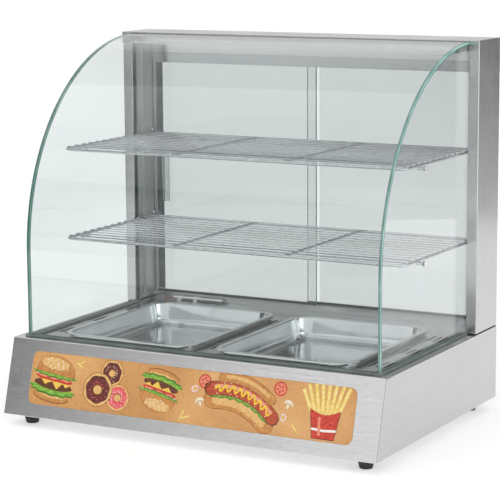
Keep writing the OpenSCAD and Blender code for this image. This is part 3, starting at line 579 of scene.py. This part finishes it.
def sausage_roll(u, v, size, angle):
    """A long roll with a sausage, leaves and a squiggle of mustard."""
    def bow(offset, reach, lift=0.13):
        return [(u + size * x, v + size * (offset + lift * (1 - (x / 0.5) ** 2)))
                for x in [reach * (k / 9 - 1) for k in range(19)]]

    def add(path, width, colour):
        parts.append((band(path, size * width), colour))

    parts = []
    add(bow(-0.12, 0.44), 0.29, "crust_edge")
    add(bow(-0.12, 0.44), 0.27, "crust")
    add(bow(-0.15, 0.38), 0.12, "crust_light")
    frill = [(x, y + size * 0.015 * math.sin(k * 2.2)) for k, (x, y) in enumerate(bow(-0.02, 0.46))]
    add(frill, 0.17, "leaf_dark")
    add(frill, 0.14, "leaf")
    add(bow(0.03, 0.52), 0.2, "meat")
    add(bow(0.03, 0.51), 0.18, "sausage")
    add(bow(0.06, 0.46), 0.05, "sausage_light")
    spine = bow(0.03, 0.45)
    squiggle = []
    for k in range(73):
        t = k / 72 * (len(spine) - 1)
        i = min(int(t), len(spine) - 2)
        x, y = (a + (b - a) * (t - i) for a, b in zip(spine[i], spine[i + 1]))
        squiggle.append((x, y + size * 0.045 * math.sin(k * 0.7)))
    add(squiggle, 0.026, "mustard")
    for k, (x, y) in enumerate(spine[:18]):
        crumb = oval(x, y + size * 0.075 * (-1) ** k, size * 0.022, size * 0.012, k * 47, sides=8)
        parts.append((crumb, "cream" if k % 3 else "leaf_dark"))
    add(bow(0.19, 0.4), 0.15, "crust_edge")
    add(bow(0.19, 0.4), 0.13, "crust")
    add(bow(0.2, 0.34), 0.05, "crust_light")
    return [(turned(outline, (u, v), angle), colour) for outline, colour in parts]


def fries(u, v, size):
    """Potato sticks in a plain red carton with a white band."""
    parts = []
    for k in range(15):
        lean = (k - 7) * 3.4 + (4 if k % 2 else -3)
        tall = size * (0.62 + 0.16 * ((k * 5) % 4) / 4)
        x, y, half = u + size * 0.036 * (k - 7), v - size * 0.1, size * 0.034
        stick = [(x - half, y), (x + half, y), (x + half, y + tall), (x - half, y + tall)]
        edge = [(x + (px - x) * 1.3, py + size * 0.012) for px, py in stick]
        parts += [(turned(edge, (x, y), -lean), "potato_dark"), (turned(stick, (x, y), -lean), "potato")]
    top, foot = size * 0.33, size * 0.24
    lip = [(u - top + 2 * top * k / 12, v + size * (0.08 - 0.1 * math.sin(math.pi * k / 12)))
           for k in range(13)]
    carton = lip + [(u + foot, v - size * 0.5), (u - foot, v - size * 0.5)]
    white_band = [(u - foot * 1.06, v - size * 0.32), (u, v - size * 0.34), (u + foot * 1.06, v - size * 0.32)]
    shine = [(u - foot * 0.5, v - size * 0.1), (u - foot * 0.38, v - size * 0.42)]
    return parts + [([(u + (x - u) * 1.05, v + (y - v) * 1.03) for x, y in carton], "cocoa"), (carton, "tomato"),
                    (band(white_band, size * 0.05), "white"), (band(shine, size * 0.06), "tomato_light")]


def scatter(spots):
    """Loose slices: tomato wedges, onion rings, mushrooms and chips."""
    parts = []
    for kind, u, v, s, angle in spots:
        def bar(x, y, width):
            """A level stroke across the spot, turned to its angle."""
            return turned(band([(u - s * x, v + s * y), (u + s * x, v + s * y)], s * width), (u, v), angle)

        if kind == "tomato":
            parts += [(oval(u, v, s, s), "tomato"), (oval(u, v, s * 0.8, s * 0.8), "tomato_light")]
            for k in range(5):
                a = math.radians(angle + k * 72)
                wedge = oval(u + s * 0.22 * math.cos(a), v + s * 0.22 * math.sin(a), s * 0.24, s * 0.13,
                             math.degrees(a), sides=10)
                parts.append((wedge, "tomato"))
        if kind == "onion":
            parts += [(oval(u, v, s, s * 0.8, angle), "onion"),
                      (oval(u, v, s * 0.7, s * 0.54, angle), "crust_light")]
        if kind == "mushroom":
            cap = [(u + s * 0.5 * math.cos(a), v + s * 0.42 * math.sin(a))
                   for a in [math.pi * k / 12 for k in range(13)]]
            stem = band([(u, v + s * 0.02), (u, v - s * 0.3)], s * 0.22)
            parts += [(turned(cap, (u, v), angle), "cream"), (turned(stem, (u, v), angle), "cream"),
                      (bar(0.3, 0.08, 0.06), "crust_edge")]
        if kind == "chip":
            parts += [(bar(0.5, 0, 0.2), "potato_dark"), (bar(0.46, 0.01, 0.13), "potato")]
    return parts


print_film("print_burger_left", burger(-0.243, -0.001, 0.079, -7))
print_film("print_ring_cakes", ring_cake(-0.137, 0.021, 0.04, "cocoa", "cream", 0.2)
           + ring_cake(-0.122, -0.016, 0.041, "berry", "white", 1.1)
           + ring_cake(-0.16, -0.007, 0.052, "cocoa", "berry", 2.0))
print_film("print_burger_turned", burger(-0.048, 0.004, 0.07, 168))
print_film("print_loose_slices", scatter([
    ("chip", -0.194, 0.032, 0.014, 25), ("chip", -0.198, 0.027, 0.014, -30), ("chip", -0.004, -0.03, 0.016, 70),
    ("chip", 0.003, -0.032, 0.015, 20), ("mushroom", 0.025, -0.006, 0.016, 20), ("tomato", 0.03, 0.026, 0.022, 10),
    ("onion", 0.014, 0.013, 0.013, 30), ("mushroom", 0.176, 0.006, 0.016, -15), ("tomato", 0.16, 0.028, 0.022, 40),
    ("onion", 0.17, -0.014, 0.012, 80), ("chip", 0.19, -0.028, 0.015, -50)]))
print_film("print_sausage_roll", sausage_roll(0.096, -0.003, 0.112, -17))
print_film("print_fries", fries(0.238, -0.001, 0.074))


# ---- Feet and screws --------------------------------------------------------------
# Four tapered feet of moulded black rubber, each held by a pan-head screw up its middle. Zinc
# plated screws with a cross recess hold the back cover and the hood.

speckle, source, result = effect(
    "moulded_speckle", [("Vector", "Vector", None), ("Size", "Float", 900.0)],
    [("Speckle", "Float"), ("Mottle", "Float")])
for label, share in (("Speckle", 1.0), ("Mottle", 0.06)):
    size = math_of(speckle, "MULTIPLY", source.outputs["Size"], share)
    dots = put(speckle, "TexNoise", {"Vector": source.outputs["Vector"], "Scale": size}, {"Detail": 3.0}).outputs[0]
    speckle.links.new(dots, result.inputs[label])


def moulded(name, dark, light, low_rough, high_rough, depth=0.00005, size=900.0):
    """Rubber, plastic or ceramic with a fine moulded surface."""
    material, tree, shader, place = new_finish(name)
    skin = use(tree, speckle, place, Size=size)
    lay(tree, shader, skin.outputs["Mottle"], [(0.35, dark), (0.65, light)], (low_rough, high_rough))
    relief(tree, shader, skin.outputs["Speckle"], depth)
    return material


def plated(name, dark, light, low_rough, high_rough, size):
    """Plated or polished metal with a faint cloud over its gloss."""
    material, tree, shader, place = new_finish(name, metal=1.0)
    cloud = use(tree, haze, place, Size=size).outputs["Haze"]
    lay(tree, shader, cloud, [(0.35, dark), (0.65, light)], (low_rough, high_rough))
    relief(tree, shader, cloud, 0.00003)
    return material


black_rubber = moulded("black_rubber", (0.012, 0.012, 0.012), (0.03, 0.03, 0.029), 0.55, 0.75)
screw_zinc = plated("zinc_plate", (0.5, 0.5, 0.48), (0.68, 0.68, 0.66), 0.22, 0.36, 300.0)

dressed("feet", "rubber_feet", black_rubber, "black_rubber", 0.0012, 3)


def screw_head(at, facing):
    """A domed screw head with a cross recess, at a seat, facing along a direction."""
    radius, height = 0.00375, 0.002
    deselect()
    bpy.ops.mesh.primitive_cylinder_add(vertices=32, radius=radius, depth=height, location=(0, 0, height / 2))
    head = bpy.context.object
    open_mesh("FACE")
    pick(head, "faces", lambda face: face.normal.z > 0.9)
    for inset, rise in ((0.0006, -0.00002), (0.0007, 0.0), (0.0007, 0.0)):
        bpy.ops.mesh.inset(thickness=inset, depth=rise)
    close_mesh()
    settle()
    soften(head, 0.0006, segments=3)
    for angle in (0, math.pi / 2):
        bpy.ops.mesh.primitive_cube_add(size=1, location=(0, 0, height), rotation=(0, 0, angle + 0.4),
                                        scale=(0.0042, 0.0008, 0.002))
        slot = bpy.context.object
        hold(head)
        worked(head, "BOOLEAN", operation="DIFFERENCE", object=slot, solver="EXACT")
        bpy.data.objects.remove(slot)
    head.rotation_euler = Vector(facing).to_track_quat("Z", "Y").to_euler()
    head.location = at
    settle()
    return head


def join_all(parts, name):
    """Joins parts to one piece."""
    deselect()
    for part in parts:
        part.select_set(True)
    bpy.context.view_layer.objects.active = parts[0]
    bpy.ops.object.join()
    parts[0].name = name
    return parts[0]


dressed("panel_screws", "panel_screw_shanks", screw_zinc, "screw_zinc")
knob_reach = 0.02
back_y = cad_high.y - knob_reach
screw_rows = [(half_width - 0.008, z) for z in (base_low.z + 0.016, deck_level - 0.018)]
screw_rows += [(half_width - 0.009, z) for z in (cad_high.z - 0.014, cad_high.z - 0.042)]
heads = [screw_head((side * x, back_y + 0.0003, z), (0, 1, 0)) for side in (-1, 1) for x, z in screw_rows]
finish_piece(join_all(heads, "panel_screw_heads"), screw_zinc, "screw_zinc")
dressed("foot_screws", "_zinc", screw_zinc, "screw_zinc", 0.0006, 3)


# ---- Food pans ----------------------------------------------------------------------
# Two pans pressed from one thin bright sheet, with a flat rim turned down at its edge, sloping
# walls and an eased floor. They hang by their rims in the deck openings.

pan_steel, tree, shader, place = new_finish("pressed_pan_steel", metal=1.0)
wiped = use(tree, haze, place, Size=11.0).outputs["Haze"]
lay(tree, shader, wiped, [(0.35, (0.56, 0.58, 0.59)), (0.65, (0.66, 0.68, 0.69))], (0.07, 0.14))
relief(tree, shader, noise(tree, place, 7.0, 1.0), 0.0009)

PAN_PROFILE = [(0.0018, 0.0), (0.0057, 0.0), (0.0006, 0.0001), (0.0006, 0.0004), (0.0004, 0.0007), (0.0003, 0.0010),
               (0.0003, 0.0020), (0.0015, 0.0088), (0.0015, 0.0088)]
floor_ease = 0.0124
for start in range(0, 90, 9):
    a, b = math.radians(start), math.radians(start + 9)
    PAN_PROFILE.append((floor_ease * (math.cos(a) - math.cos(b)), floor_ease * 1.04 * (math.sin(b) - math.sin(a))))
PAN_PROFILE.append((0.004, 0.0003))
pan_wall, rim_corner, rim_turn_down = 0.0008, 0.035, 0.004
for name in ("pan_left", "pan_right"):
    low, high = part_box(name)
    deselect()
    bpy.ops.mesh.primitive_plane_add(size=1, location=((low.x + high.x) / 2, (low.y + high.y) / 2, high.z))
    pan = bpy.context.object
    pan.name = name + "_pressed"
    pan.scale = (high.x - low.x, high.y - low.y, 1)
    settle()
    open_mesh("VERT", "SELECT")
    bpy.ops.mesh.bevel(offset=rim_corner, segments=14, affect="VERTICES")
    choose("FACE", "SELECT")
    for inset, drop in PAN_PROFILE:
        bpy.ops.mesh.inset(thickness=inset, depth=-drop, use_even_offset=True)
    choose("EDGE")
    pick(pan, "edges", lambda edge: edge.is_boundary)
    bpy.ops.mesh.extrude_region_move(TRANSFORM_OT_translate={"value": (0, 0, -rim_turn_down)})
    bpy.ops.mesh.select_all(action="SELECT")
    bpy.ops.mesh.normals_make_consistent(inside=False)
    bpy.ops.mesh.select_all(action="DESELECT")
    pick(pan, "edges", lambda edge: all(near(vertex.co.z, high.z, 1e-5) for vertex in edge.verts)
         and any(abs(face.normal.z) < 0.2 for face in edge.link_faces))
    bpy.ops.mesh.bevel(offset=0.0012, segments=3, affect="EDGES")
    close_mesh()
    worked(pan, "SOLIDIFY", thickness=pan_wall, offset=-1.0, use_even_offset=True)
    finish_piece(pan, pan_steel, "pan_steel", [name], body=name, smooth=50)


# ---- Heaters --------------------------------------------------------------------------
# Bent tubular elements in the heat box under the pans. The tube is heat-stained to straw and
# blue-grey in random patches along it.

stained, tree, shader, place = new_finish("heat_stained_tube", metal=1.0)
bands = noise(tree, place, 16.0, 4.0)
lay(tree, shader, bands, [(0.32, (0.1, 0.09, 0.1)), (0.5, (0.22, 0.17, 0.13)), (0.68, (0.3, 0.26, 0.22))],
    (0.38, 0.55))
relief(tree, shader, noise(tree, place, 900.0), 0.00005)
for name in ("heater_left", "heater_right"):
    dressed(name, "_tube", stained, "heater_steel", smooth=50)


# ---- Thermostat -------------------------------------------------------------------------
# A ceramic capillary thermostat behind the back cover, its shaft with a fluted black knob, and a
# white dial ring with generic figures. A copper tube runs to the sensor on the deck.

black_plastic = moulded("black_plastic", (0.014, 0.014, 0.014), (0.026, 0.026, 0.026), 0.36, 0.5,
                        depth=0.00003, size=1600.0)
ceramic = moulded("glazed_ceramic", (0.66, 0.62, 0.53), (0.78, 0.75, 0.67), 0.25, 0.4, size=500.0)
dial_white = moulded("dial_paint", (0.72, 0.72, 0.7), (0.82, 0.82, 0.8), 0.35, 0.5, depth=0.00002)
copper = plated("drawn_copper", (0.5, 0.24, 0.13), (0.68, 0.38, 0.22), 0.25, 0.4, 200.0)
polished = plated("polished_steel", (0.76, 0.77, 0.77), (0.86, 0.87, 0.87), 0.16, 0.28, 30.0)

dressed("thermostat_body", "_ceramic", ceramic, "ceramic", 0.0008)
dressed("thermostat_shaft", "_steel", polished, "polished_steel", 0.0004, body="thermostat_knob")
dressed("thermostat_knob", "_grip", black_plastic, "black_plastic", 0.0007, 3, 35, body="thermostat_knob")
knob_low, knob_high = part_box("thermostat_knob")
knob_x, knob_z = (knob_low.x + knob_high.x) / 2, (knob_low.z + knob_high.z) / 2


def bar_mesh(name, low, high, width=0.0003):
    """A small softened bar between two corners."""
    deselect()
    bpy.ops.mesh.primitive_cube_add(size=1, location=[(a + b) / 2 for a, b in zip(low, high)])
    bar = bpy.context.object
    bar.name = name
    bar.scale = [b - a for a, b in zip(low, high)]
    settle()
    soften(bar, width)
    return bar


marker = bar_mesh("knob_marker", (knob_x - 0.0007, knob_high.y - 0.0021, knob_z + 0.004),
                  (knob_x + 0.0007, knob_high.y - 0.00195, knob_z + 0.017), 0.00004)
finish_piece(marker, dial_white, "dial_white", body="thermostat_knob")
dressed("dial_plate", "dial_ring", dial_white, "dial_white", 0.0002)
dial_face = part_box("dial_plate")[1].y
figure_ring, figure_size, figure_thick = 0.0272, 0.0052, 0.00003


def dial_mark(text, bearing):
    """A printed figure on the dial, read from behind the case; bearing is clockwise from the top."""
    deselect()
    bpy.ops.object.text_add(location=(0, 0, 0))
    mark = bpy.context.object
    mark.data.body = text
    mark.data.size = figure_size
    mark.data.align_x, mark.data.align_y = "CENTER", "CENTER"
    mark.data.extrude = figure_thick
    mark.data.resolution_u = 2
    bpy.ops.object.convert(target="MESH")
    mark = bpy.context.object
    a = math.radians(bearing)
    mark.rotation_euler = (math.pi / 2, 0, math.pi)
    mark.location = (knob_x - figure_ring * math.sin(a), dial_face + figure_thick,
                     knob_z + figure_ring * math.cos(a))
    settle()
    return mark


bearings = {"0": 0, "30": 60, "45": 105, "60": 150, "75": 195, "90": 240, "110": 285}
figures = [dial_mark(text, bearing) for text, bearing in bearings.items()]
finish_piece(join_all(figures, "dial_figures"), black_plastic, "black_plastic")

dressed("sensor_bulb", "_steel", polished, "polished_steel", 0.0012, 3, smooth=50)
dressed("sensor_clips", "_steel", polished, "polished_steel", 0.0002)
dressed("capillary_tube", "_copper", copper, "copper", smooth=60)


# ---- Switches, pilot lamp, gland and terminal block --------------------------------------
# Snap-in rocker switches with plain line and ring marks, a red pilot lamp, a plastic cable gland
# and a ceramic terminal block, all fixed to the back cover and the floor of the base.

red_plastic = moulded("red_lens_plastic", (0.4, 0.012, 0.01), (0.55, 0.03, 0.02), 0.18, 0.3, depth=0.00002)
for name, material, slot, width in (("power_switch_housing", black_plastic, "black_plastic", 0.0005),
                                    ("light_switch_housing", black_plastic, "black_plastic", 0.0005),
                                    ("indicator_lamp", red_plastic, "red_plastic", 0.0009),
                                    ("cable_gland", black_plastic, "black_plastic", 0.0007),
                                    ("gland_nut", black_plastic, "black_plastic", 0.0006),
                                    ("terminal_block", ceramic, "ceramic", 0.0008)):
    dressed(name, "_moulding", material, slot, width, 3)

for name, body, material, slot in (("power_switch_rocker", "power_rocker", red_plastic, "red_plastic"),
                                   ("light_switch_rocker", "light_rocker", black_plastic, "black_plastic")):
    dressed(name, "_key", material, slot, 0.0006, 3, 20, body=body)
    low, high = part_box(name)
    tilt = math.radians(9)
    middle_y = 0.0012 + math.tan(tilt) * 0.006
    deselect()
    bpy.ops.mesh.primitive_torus_add(major_segments=28, minor_segments=6, major_radius=0.002, minor_radius=0.00022,
                                     rotation=(math.pi / 2, 0, 0))
    ring = bpy.context.object
    ring.location = (0, middle_y, -0.006)
    settle()
    stroke = bar_mesh("stroke", (-0.00025, middle_y - 0.00022, 0.004), (0.00025, middle_y + 0.00022, 0.008),
                      0.00005)
    for part, lean in ((ring, 1), (stroke, -1)):
        middle = Matrix.Translation((0, middle_y, -0.006 * lean))
        part.matrix_world = middle @ Matrix.Rotation(lean * tilt, 4, "X") @ middle.inverted()
        hold(part)
        settle()
    marks = join_all([ring, stroke], name + "_marks")
    seat = Matrix.Translation(((low.x + high.x) / 2, back_y, knob_z))
    marks.matrix_world = seat @ Matrix.Rotation(-tilt, 4, "X")
    settle()
    finish_piece(marks, dial_white, "dial_white", body=body)


# ---- Rear posts and their trims -------------------------------------------------------------
# Two hollow folded posts stand on rubber pads at the back corners. A folded satin trim runs
# inside each, from behind the side glass to the door jamb, and carries the pegs of the shelves.
# Its front faces are painted much lighter than the rest, as a painted highlight.

post_steel = brushed_steel("brushed_steel_post", "Z", tone=0.56, rough=0.16)
for name in ("post_left", "post_right"):
    low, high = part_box(name)
    post = copy_of(name, name + "_steel")
    for x in (low.x, high.x):
        round_folds(post, lambda p: near(p.x, x) and near(p.y, low.y), 0.0013)
    soften(post, sheet_edge)
    finish_piece(post, post_steel, "brushed_steel", [name])
dressed("post_gaskets", "post_pads", black_rubber, "black_rubber", 0.0004)

trim_steel = brushed_steel("satin_trim_steel", "Z", tone=0.46, rough=0.42, depth=0.00004)
# The front faces of each trim get a much lighter copy of the same steel: a painted highlight.
trim_front_painted_highlight = brushed_steel("trim_steel_painted_highlight", "Z", tone=0.9, rough=0.34, depth=0.00004)
for name in ("glass_channel_left", "glass_channel_right"):
    trim = dressed(name, "_trim", trim_steel, "polished_steel", 0.00045, 3)
    trim.data.materials.append(trim_front_painted_highlight)
    for face in trim.data.polygons:
        if face.normal.y < -0.9:
            face.material_index = 1


# ---- Hood, liner and front beam ----------------------------------------------------------------
# The roof is one folded sheet with a short lip at the front and a skirt at the back. A bright
# liner under it throws the light down, and a channel stiffens it under the edge of the glass.

hood_low, hood_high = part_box("hood")
hood_steel = brushed_steel("brushed_steel_hood", "X", tone=0.6, rough=0.18)
hood = copy_of("hood", "hood_steel")
for y in (hood_low.y, hood_high.y):
    round_folds(hood, lambda p: near(p.z, hood_high.z) and near(p.y, y), 0.0008)
soften(hood, sheet_edge)
finish_piece(hood, hood_steel, "brushed_steel", ["hood"])
liner_steel = brushed_steel("bright_liner_steel", "X", tone=0.78, rough=0.16, depth=0.00005)
dressed("hood_liner", "_steel", liner_steel, "polished_steel", 0.0003)
beam_steel = brushed_steel("beam_steel", "X", tone=0.74, rough=0.16)
dressed("front_beam", "_steel", beam_steel, "brushed_steel", 0.0004, 3)


# ---- Canopy glass -----------------------------------------------------------------------------
# One 5 mm sheet bent over the front and two flat side sheets cut to its curve, all on thin grey
# rubber. The cut edges are ground and polished, and show the green of the glass. Their chamfers
# are painted a much darker green, as painted shade along each edge.

def clear_glass(name, colour):
    """Sheet glass that lets lamp light straight through, with a faint wiped film on its face."""
    material, tree, shader, place = new_finish(name)
    film = use(tree, haze, place, Size=5.0).outputs["Haze"]
    wiped_colour = tuple(c * 0.985 for c in colour)
    tree.links.new(ramp(tree, film, [(0.35, wiped_colour), (0.65, colour)]), shader.inputs["Base Color"])
    for socket, value in (("Roughness", 0.0), ("IOR", 1.45), ("Transmission Weight", 1.0)):
        shader.inputs[socket].default_value = value
    through = put(tree, "BsdfTransparent", values={"Color": (*colour, 1)})
    lamp_ray = put(tree, "LightPath").outputs["Is Shadow Ray"]
    mix = put(tree, "MixShader", {0: lamp_ray, 1: shader.outputs[0], 2: through.outputs[0]})
    tree.links.new(mix.outputs[0], tree.nodes["Material Output"].inputs["Surface"])
    return material


def glass_edge(name, dark, light):
    """The ground and polished cut edge, seen through the depth of the sheet."""
    material, tree, shader, place = new_finish(name)
    depth = noise(tree, place, 22.0, 3.0)
    ground = noise(tree, place, 1500.0)
    tree.links.new(ramp(tree, depth, [(0.35, dark), (0.65, light)]), shader.inputs["Base Color"])
    tree.links.new(spread_to(tree, ground, 0.1, 0.2), shader.inputs["Roughness"])
    relief(tree, shader, ground, 0.00001)
    return material


bent_glass = clear_glass("bent_glass", (0.865, 0.897, 0.89))
side_glass = clear_glass("side_glass", (0.935, 0.965, 0.963))
edge_green = glass_edge("glass_edge_pale", (0.22, 0.44, 0.39), (0.42, 0.63, 0.58))
# The chamfers get a dark green of their own: painted shade along the glass edges.
edge_chamfer_painted_shade = glass_edge("glass_chamfer_painted_shade", (0.02, 0.13, 0.105), (0.06, 0.24, 0.2))


def edge_faces(piece, edge, chamfer, is_edge, is_chamfer):
    """Gives the cut edges and chamfers of a glass sheet their finishes, picked face by face."""
    piece.data.materials.append(edge)
    piece.data.materials.append(chamfer)
    for face in piece.data.polygons:
        if is_chamfer(face):
            face.material_index = 2
        elif is_edge(face):
            face.material_index = 1


front_low, front_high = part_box("front_glass")
bend_radius = 0.334
glass_thick = 0.005
bend_z = hood_high.z - 2 * sheet - bend_radius
bend_y = front_low.y + bend_radius
bend_turn = math.acos((bend_y - front_high.y) / bend_radius)
deselect()
bpy.ops.mesh.primitive_plane_add(size=1)
bent = bpy.context.object
bent.name = "front_glass_bent"
open_mesh("VERT", "SELECT")
bpy.ops.transform.rotate(value=math.pi / 2, orient_axis="X", center_override=(0, 0, 0))
shape = bmesh.from_edit_mesh(bent.data)
for vertex in shape.verts:
    side, level = (1 if vertex.co.x > 0 else -1), (bend_z if vertex.co.z > 0 else front_low.z)
    vertex.co = (front_high.x * side, front_low.y, level)
bmesh.update_edit_mesh(bent.data)
choose("EDGE")
pick(bent, "edges", lambda edge: all(near(vertex.co.z, bend_z) for vertex in edge.verts))
bpy.ops.mesh.spin(steps=72, angle=bend_turn, center=(0, bend_y, bend_z), axis=(1, 0, 0))
bpy.ops.mesh.select_all(action="SELECT")
bpy.ops.mesh.remove_doubles(threshold=1e-6)
bpy.ops.mesh.normals_make_consistent(inside=False)
close_mesh()
if bent.data.polygons[0].normal.y > 0:
    bent.data.flip_normals()
worked(bent, "SOLIDIFY", thickness=glass_thick, offset=-1.0)
soften(bent, 0.0005, angle=60)
finish_piece(bent, bent_glass, "canopy_glass", ["front_glass"], smooth=20)


def bent_end(face):
    """The side ends and the foot of the sheet. The end at the top shows only through the glass."""
    return abs(face.normal.x) > 0.98 or (face.normal.z < -0.98 and face.center.z < front_low.z + 0.0007)


def bent_chamfer(face):
    """The bevels round the side ends and the foot."""
    return 0.05 < abs(face.normal.x) < 0.98 or (face.center.z < front_low.z + 0.0006 and face.normal.z > -0.98)


edge_faces(bent, edge_green, edge_chamfer_painted_shade, bent_end, bent_chamfer)

for name in ("side_glass_left", "side_glass_right"):
    pane = dressed(name, "_pane", side_glass, "canopy_glass", 0.0005, 2, 60, smooth=20)
    edge_faces(pane, edge_green, edge_chamfer_painted_shade, lambda face: abs(face.normal.x) < 0.05,
               lambda face: 0.05 < abs(face.normal.x) < 0.98)

seal_rubber = moulded("seal_rubber", (0.14, 0.17, 0.16), (0.22, 0.255, 0.24), 0.42, 0.6, size=500.0)
for name in ("front_gasket", "side_gasket_left", "side_gasket_right", "glass_clips"):
    dressed(name, "_seal", seal_rubber, "grey_rubber", 0.0004)


# ---- Sliding doors -------------------------------------------------------------------------------
# Bright anodised extrusions with two grooves each guide two panes of 4 mm glass, which overlap at
# the middle, where one is left clear. Each has a black runner at its foot and a glass pull.

def extruded(name, axis, rough):
    """Anodised extrusion with fine die lines along its length."""
    material, tree, shader, place = new_finish(name, metal=0.85)
    aligned = put(tree, "Mapping", {"Vector": place}, {"Rotation": GRAIN_TURN[axis]}).outputs[0]
    die = use(tree, grain, aligned, Fineness=700.0, Length=400.0)
    lay(tree, shader, die.outputs["Streak"], [(0.32, (0.56, 0.57, 0.58)), (0.68, (0.66, 0.67, 0.68))], rough)
    relief(tree, shader, die.outputs["Height"], 0.00006)
    return material


track_finish = extruded("bright_anodised_track", "X", (0.13, 0.2))
jamb_finish = extruded("bright_anodised_jamb", "Z", (0.16, 0.24))
for name, material in (("top_door_track", track_finish), ("bottom_door_track", track_finish),
                       ("door_jambs", jamb_finish)):
    dressed(name, "_extrusion", material, "track_aluminium", 0.0003)

door_glass = clear_glass("door_glass", (0.66, 0.695, 0.688))
lap_glass = clear_glass("door_lap_glass", (0.93, 0.95, 0.945))
door_edge = glass_edge("door_edge_grey", (0.22, 0.3, 0.28), (0.4, 0.5, 0.47))
lap = -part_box("door_right")[0].x
for name in ("door_left", "door_right"):
    pane = copy_of(name, name + "_pane")
    soften(pane, 0.0004)
    if name == "door_right":
        open_mesh("VERT", "SELECT")
        bpy.ops.mesh.bisect(plane_co=(lap, 0, 0), plane_no=(1, 0, 0))
        close_mesh()
    finish_piece(pane, door_glass, "door_glass", [name], body=name, smooth=20)
    edge_faces(pane, door_edge, lap_glass, lambda face: abs(face.normal.y) < 0.98,
               lambda face: name == "door_right" and face.center.x < lap and abs(face.normal.y) > 0.98)
sill_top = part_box("bottom_door_track")[1].z
runner_lap, runner_low, runner_high = 0.0007, sill_top + 0.0003, sill_top + 0.0034
for name in ("door_left", "door_right"):
    low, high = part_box(name)
    runner = bar_mesh(name + "_runner", (low.x, low.y - runner_lap, runner_low),
                      (high.x, high.y + runner_lap, runner_high))
    finish_piece(runner, black_plastic, "black_plastic", body=name)
for side in ("left", "right"):
    dressed("door_pull_" + side, "_grip", door_glass, "door_glass", 0.0004, 3, body="door_" + side, smooth=20)


# ---- Shelves ------------------------------------------------------------------------------------
# Each shelf is a frame of round rod with two cross bars and thirteen thin wires welded on top, the
# wires turned down over the side rods, all chrome plated.

chrome = plated("chrome_wire", (0.54, 0.55, 0.57), (0.68, 0.69, 0.71), 0.08, 0.16, 120.0)


def rod_along(points, radius, sides):
    """A round rod along a path of points."""
    curve = bpy.data.curves.new("rod", "CURVE")
    curve.dimensions = "3D"
    curve.bevel_depth = radius
    curve.bevel_resolution = max(0, sides // 4 - 1)
    curve.use_fill_caps = True
    spline = curve.splines.new("POLY")
    spline.points.add(len(points) - 1)
    for point, place in zip(spline.points, points):
        point.co = (*place, 1)
    rod = bpy.data.objects.new("rod", curve)
    scene.collection.objects.link(rod)
    hold(rod)
    bpy.ops.object.convert(target="MESH")
    return bpy.context.object


def arc_points(centre, radius, start, stop, steps, across, up):
    """Points on an arc in the plane of two unit directions, angles in degrees."""
    return [tuple(Vector(centre) + radius * (math.cos(a) * Vector(across) + math.sin(a) * Vector(up)))
            for a in [math.radians(start + (stop - start) * k / steps) for k in range(steps + 1)]]


rod_d, wire_d, wire_count, wire_inset, corner = 0.005, 0.0026, 13, 0.010, 0.010
for name in ("shelf_upper", "shelf_lower"):
    low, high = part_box(name)
    rod_z = low.z + rod_d / 2
    x1, y0, y1 = high.x - rod_d / 2, low.y + rod_d / 2, high.y - rod_d / 2
    frame_path = []
    for cx, cy, start in ((x1 - corner, y1 - corner, 0), (-x1 + corner, y1 - corner, 90),
                          (-x1 + corner, y0 + corner, 180), (x1 - corner, y0 + corner, 270)):
        frame_path += arc_points((cx, cy, rod_z), corner, start, start + 90, 8, (1, 0, 0), (0, 1, 0))
    parts = [rod_along(frame_path + frame_path[:1], rod_d / 2, 16)]
    for x in (-high.x / 3, high.x / 3):
        parts.append(rod_along([(x, y0, rod_z), (x, y1, rod_z)], (rod_d - 0.0006) / 2, 12))
    wire_z = high.z - wire_d / 2
    step = (y1 - y0 - 2 * wire_inset) / (wire_count - 1)
    turn = wire_d / 2 + 0.0013
    for k in range(wire_count):
        y = y0 + wire_inset + k * step
        right = arc_points((x1 - turn + 0.0012, y, wire_z - turn), turn, 90, 0, 5, (1, 0, 0), (0, 0, 1))
        left = [(-x, y, z) for x, y, z in right[::-1]]
        feet = [(x, y, rod_z - 0.0005) for x in (left[0][0], right[-1][0])]
        parts.append(rod_along(feet[:1] + left + right + feet[1:], wire_d / 2, 8))
    shelf = join_all(parts, name + "_wire")
    finish_piece(shelf, chrome, "chrome_wire", [name], smooth=50)

for name, width in (("shelf_studs", 0.0006), ("shelf_pins", 0.0005)):
    dressed(name, "_steel", polished, "polished_steel", width, 3)


# ---- Lamp -----------------------------------------------------------------------------------------
# A coated glass tube behind the front beam lights the shelves. Its ends sit in two holders of
# glazed ceramic under the hood.

coated, tree, shader, place = new_finish("coated_lamp_glass")
dust = use(tree, haze, place, Size=40.0).outputs["Haze"]
lay(tree, shader, dust, [(0.3, (0.82, 0.8, 0.74)), (0.7, (0.93, 0.92, 0.88))], (0.16, 0.26))
dressed("lamp_tube", "_glass", coated, "lamp_glass", 0.0014, 3, smooth=50)
dressed("lamp_holders", "_ceramic", ceramic, "ceramic", 0.001, 3)
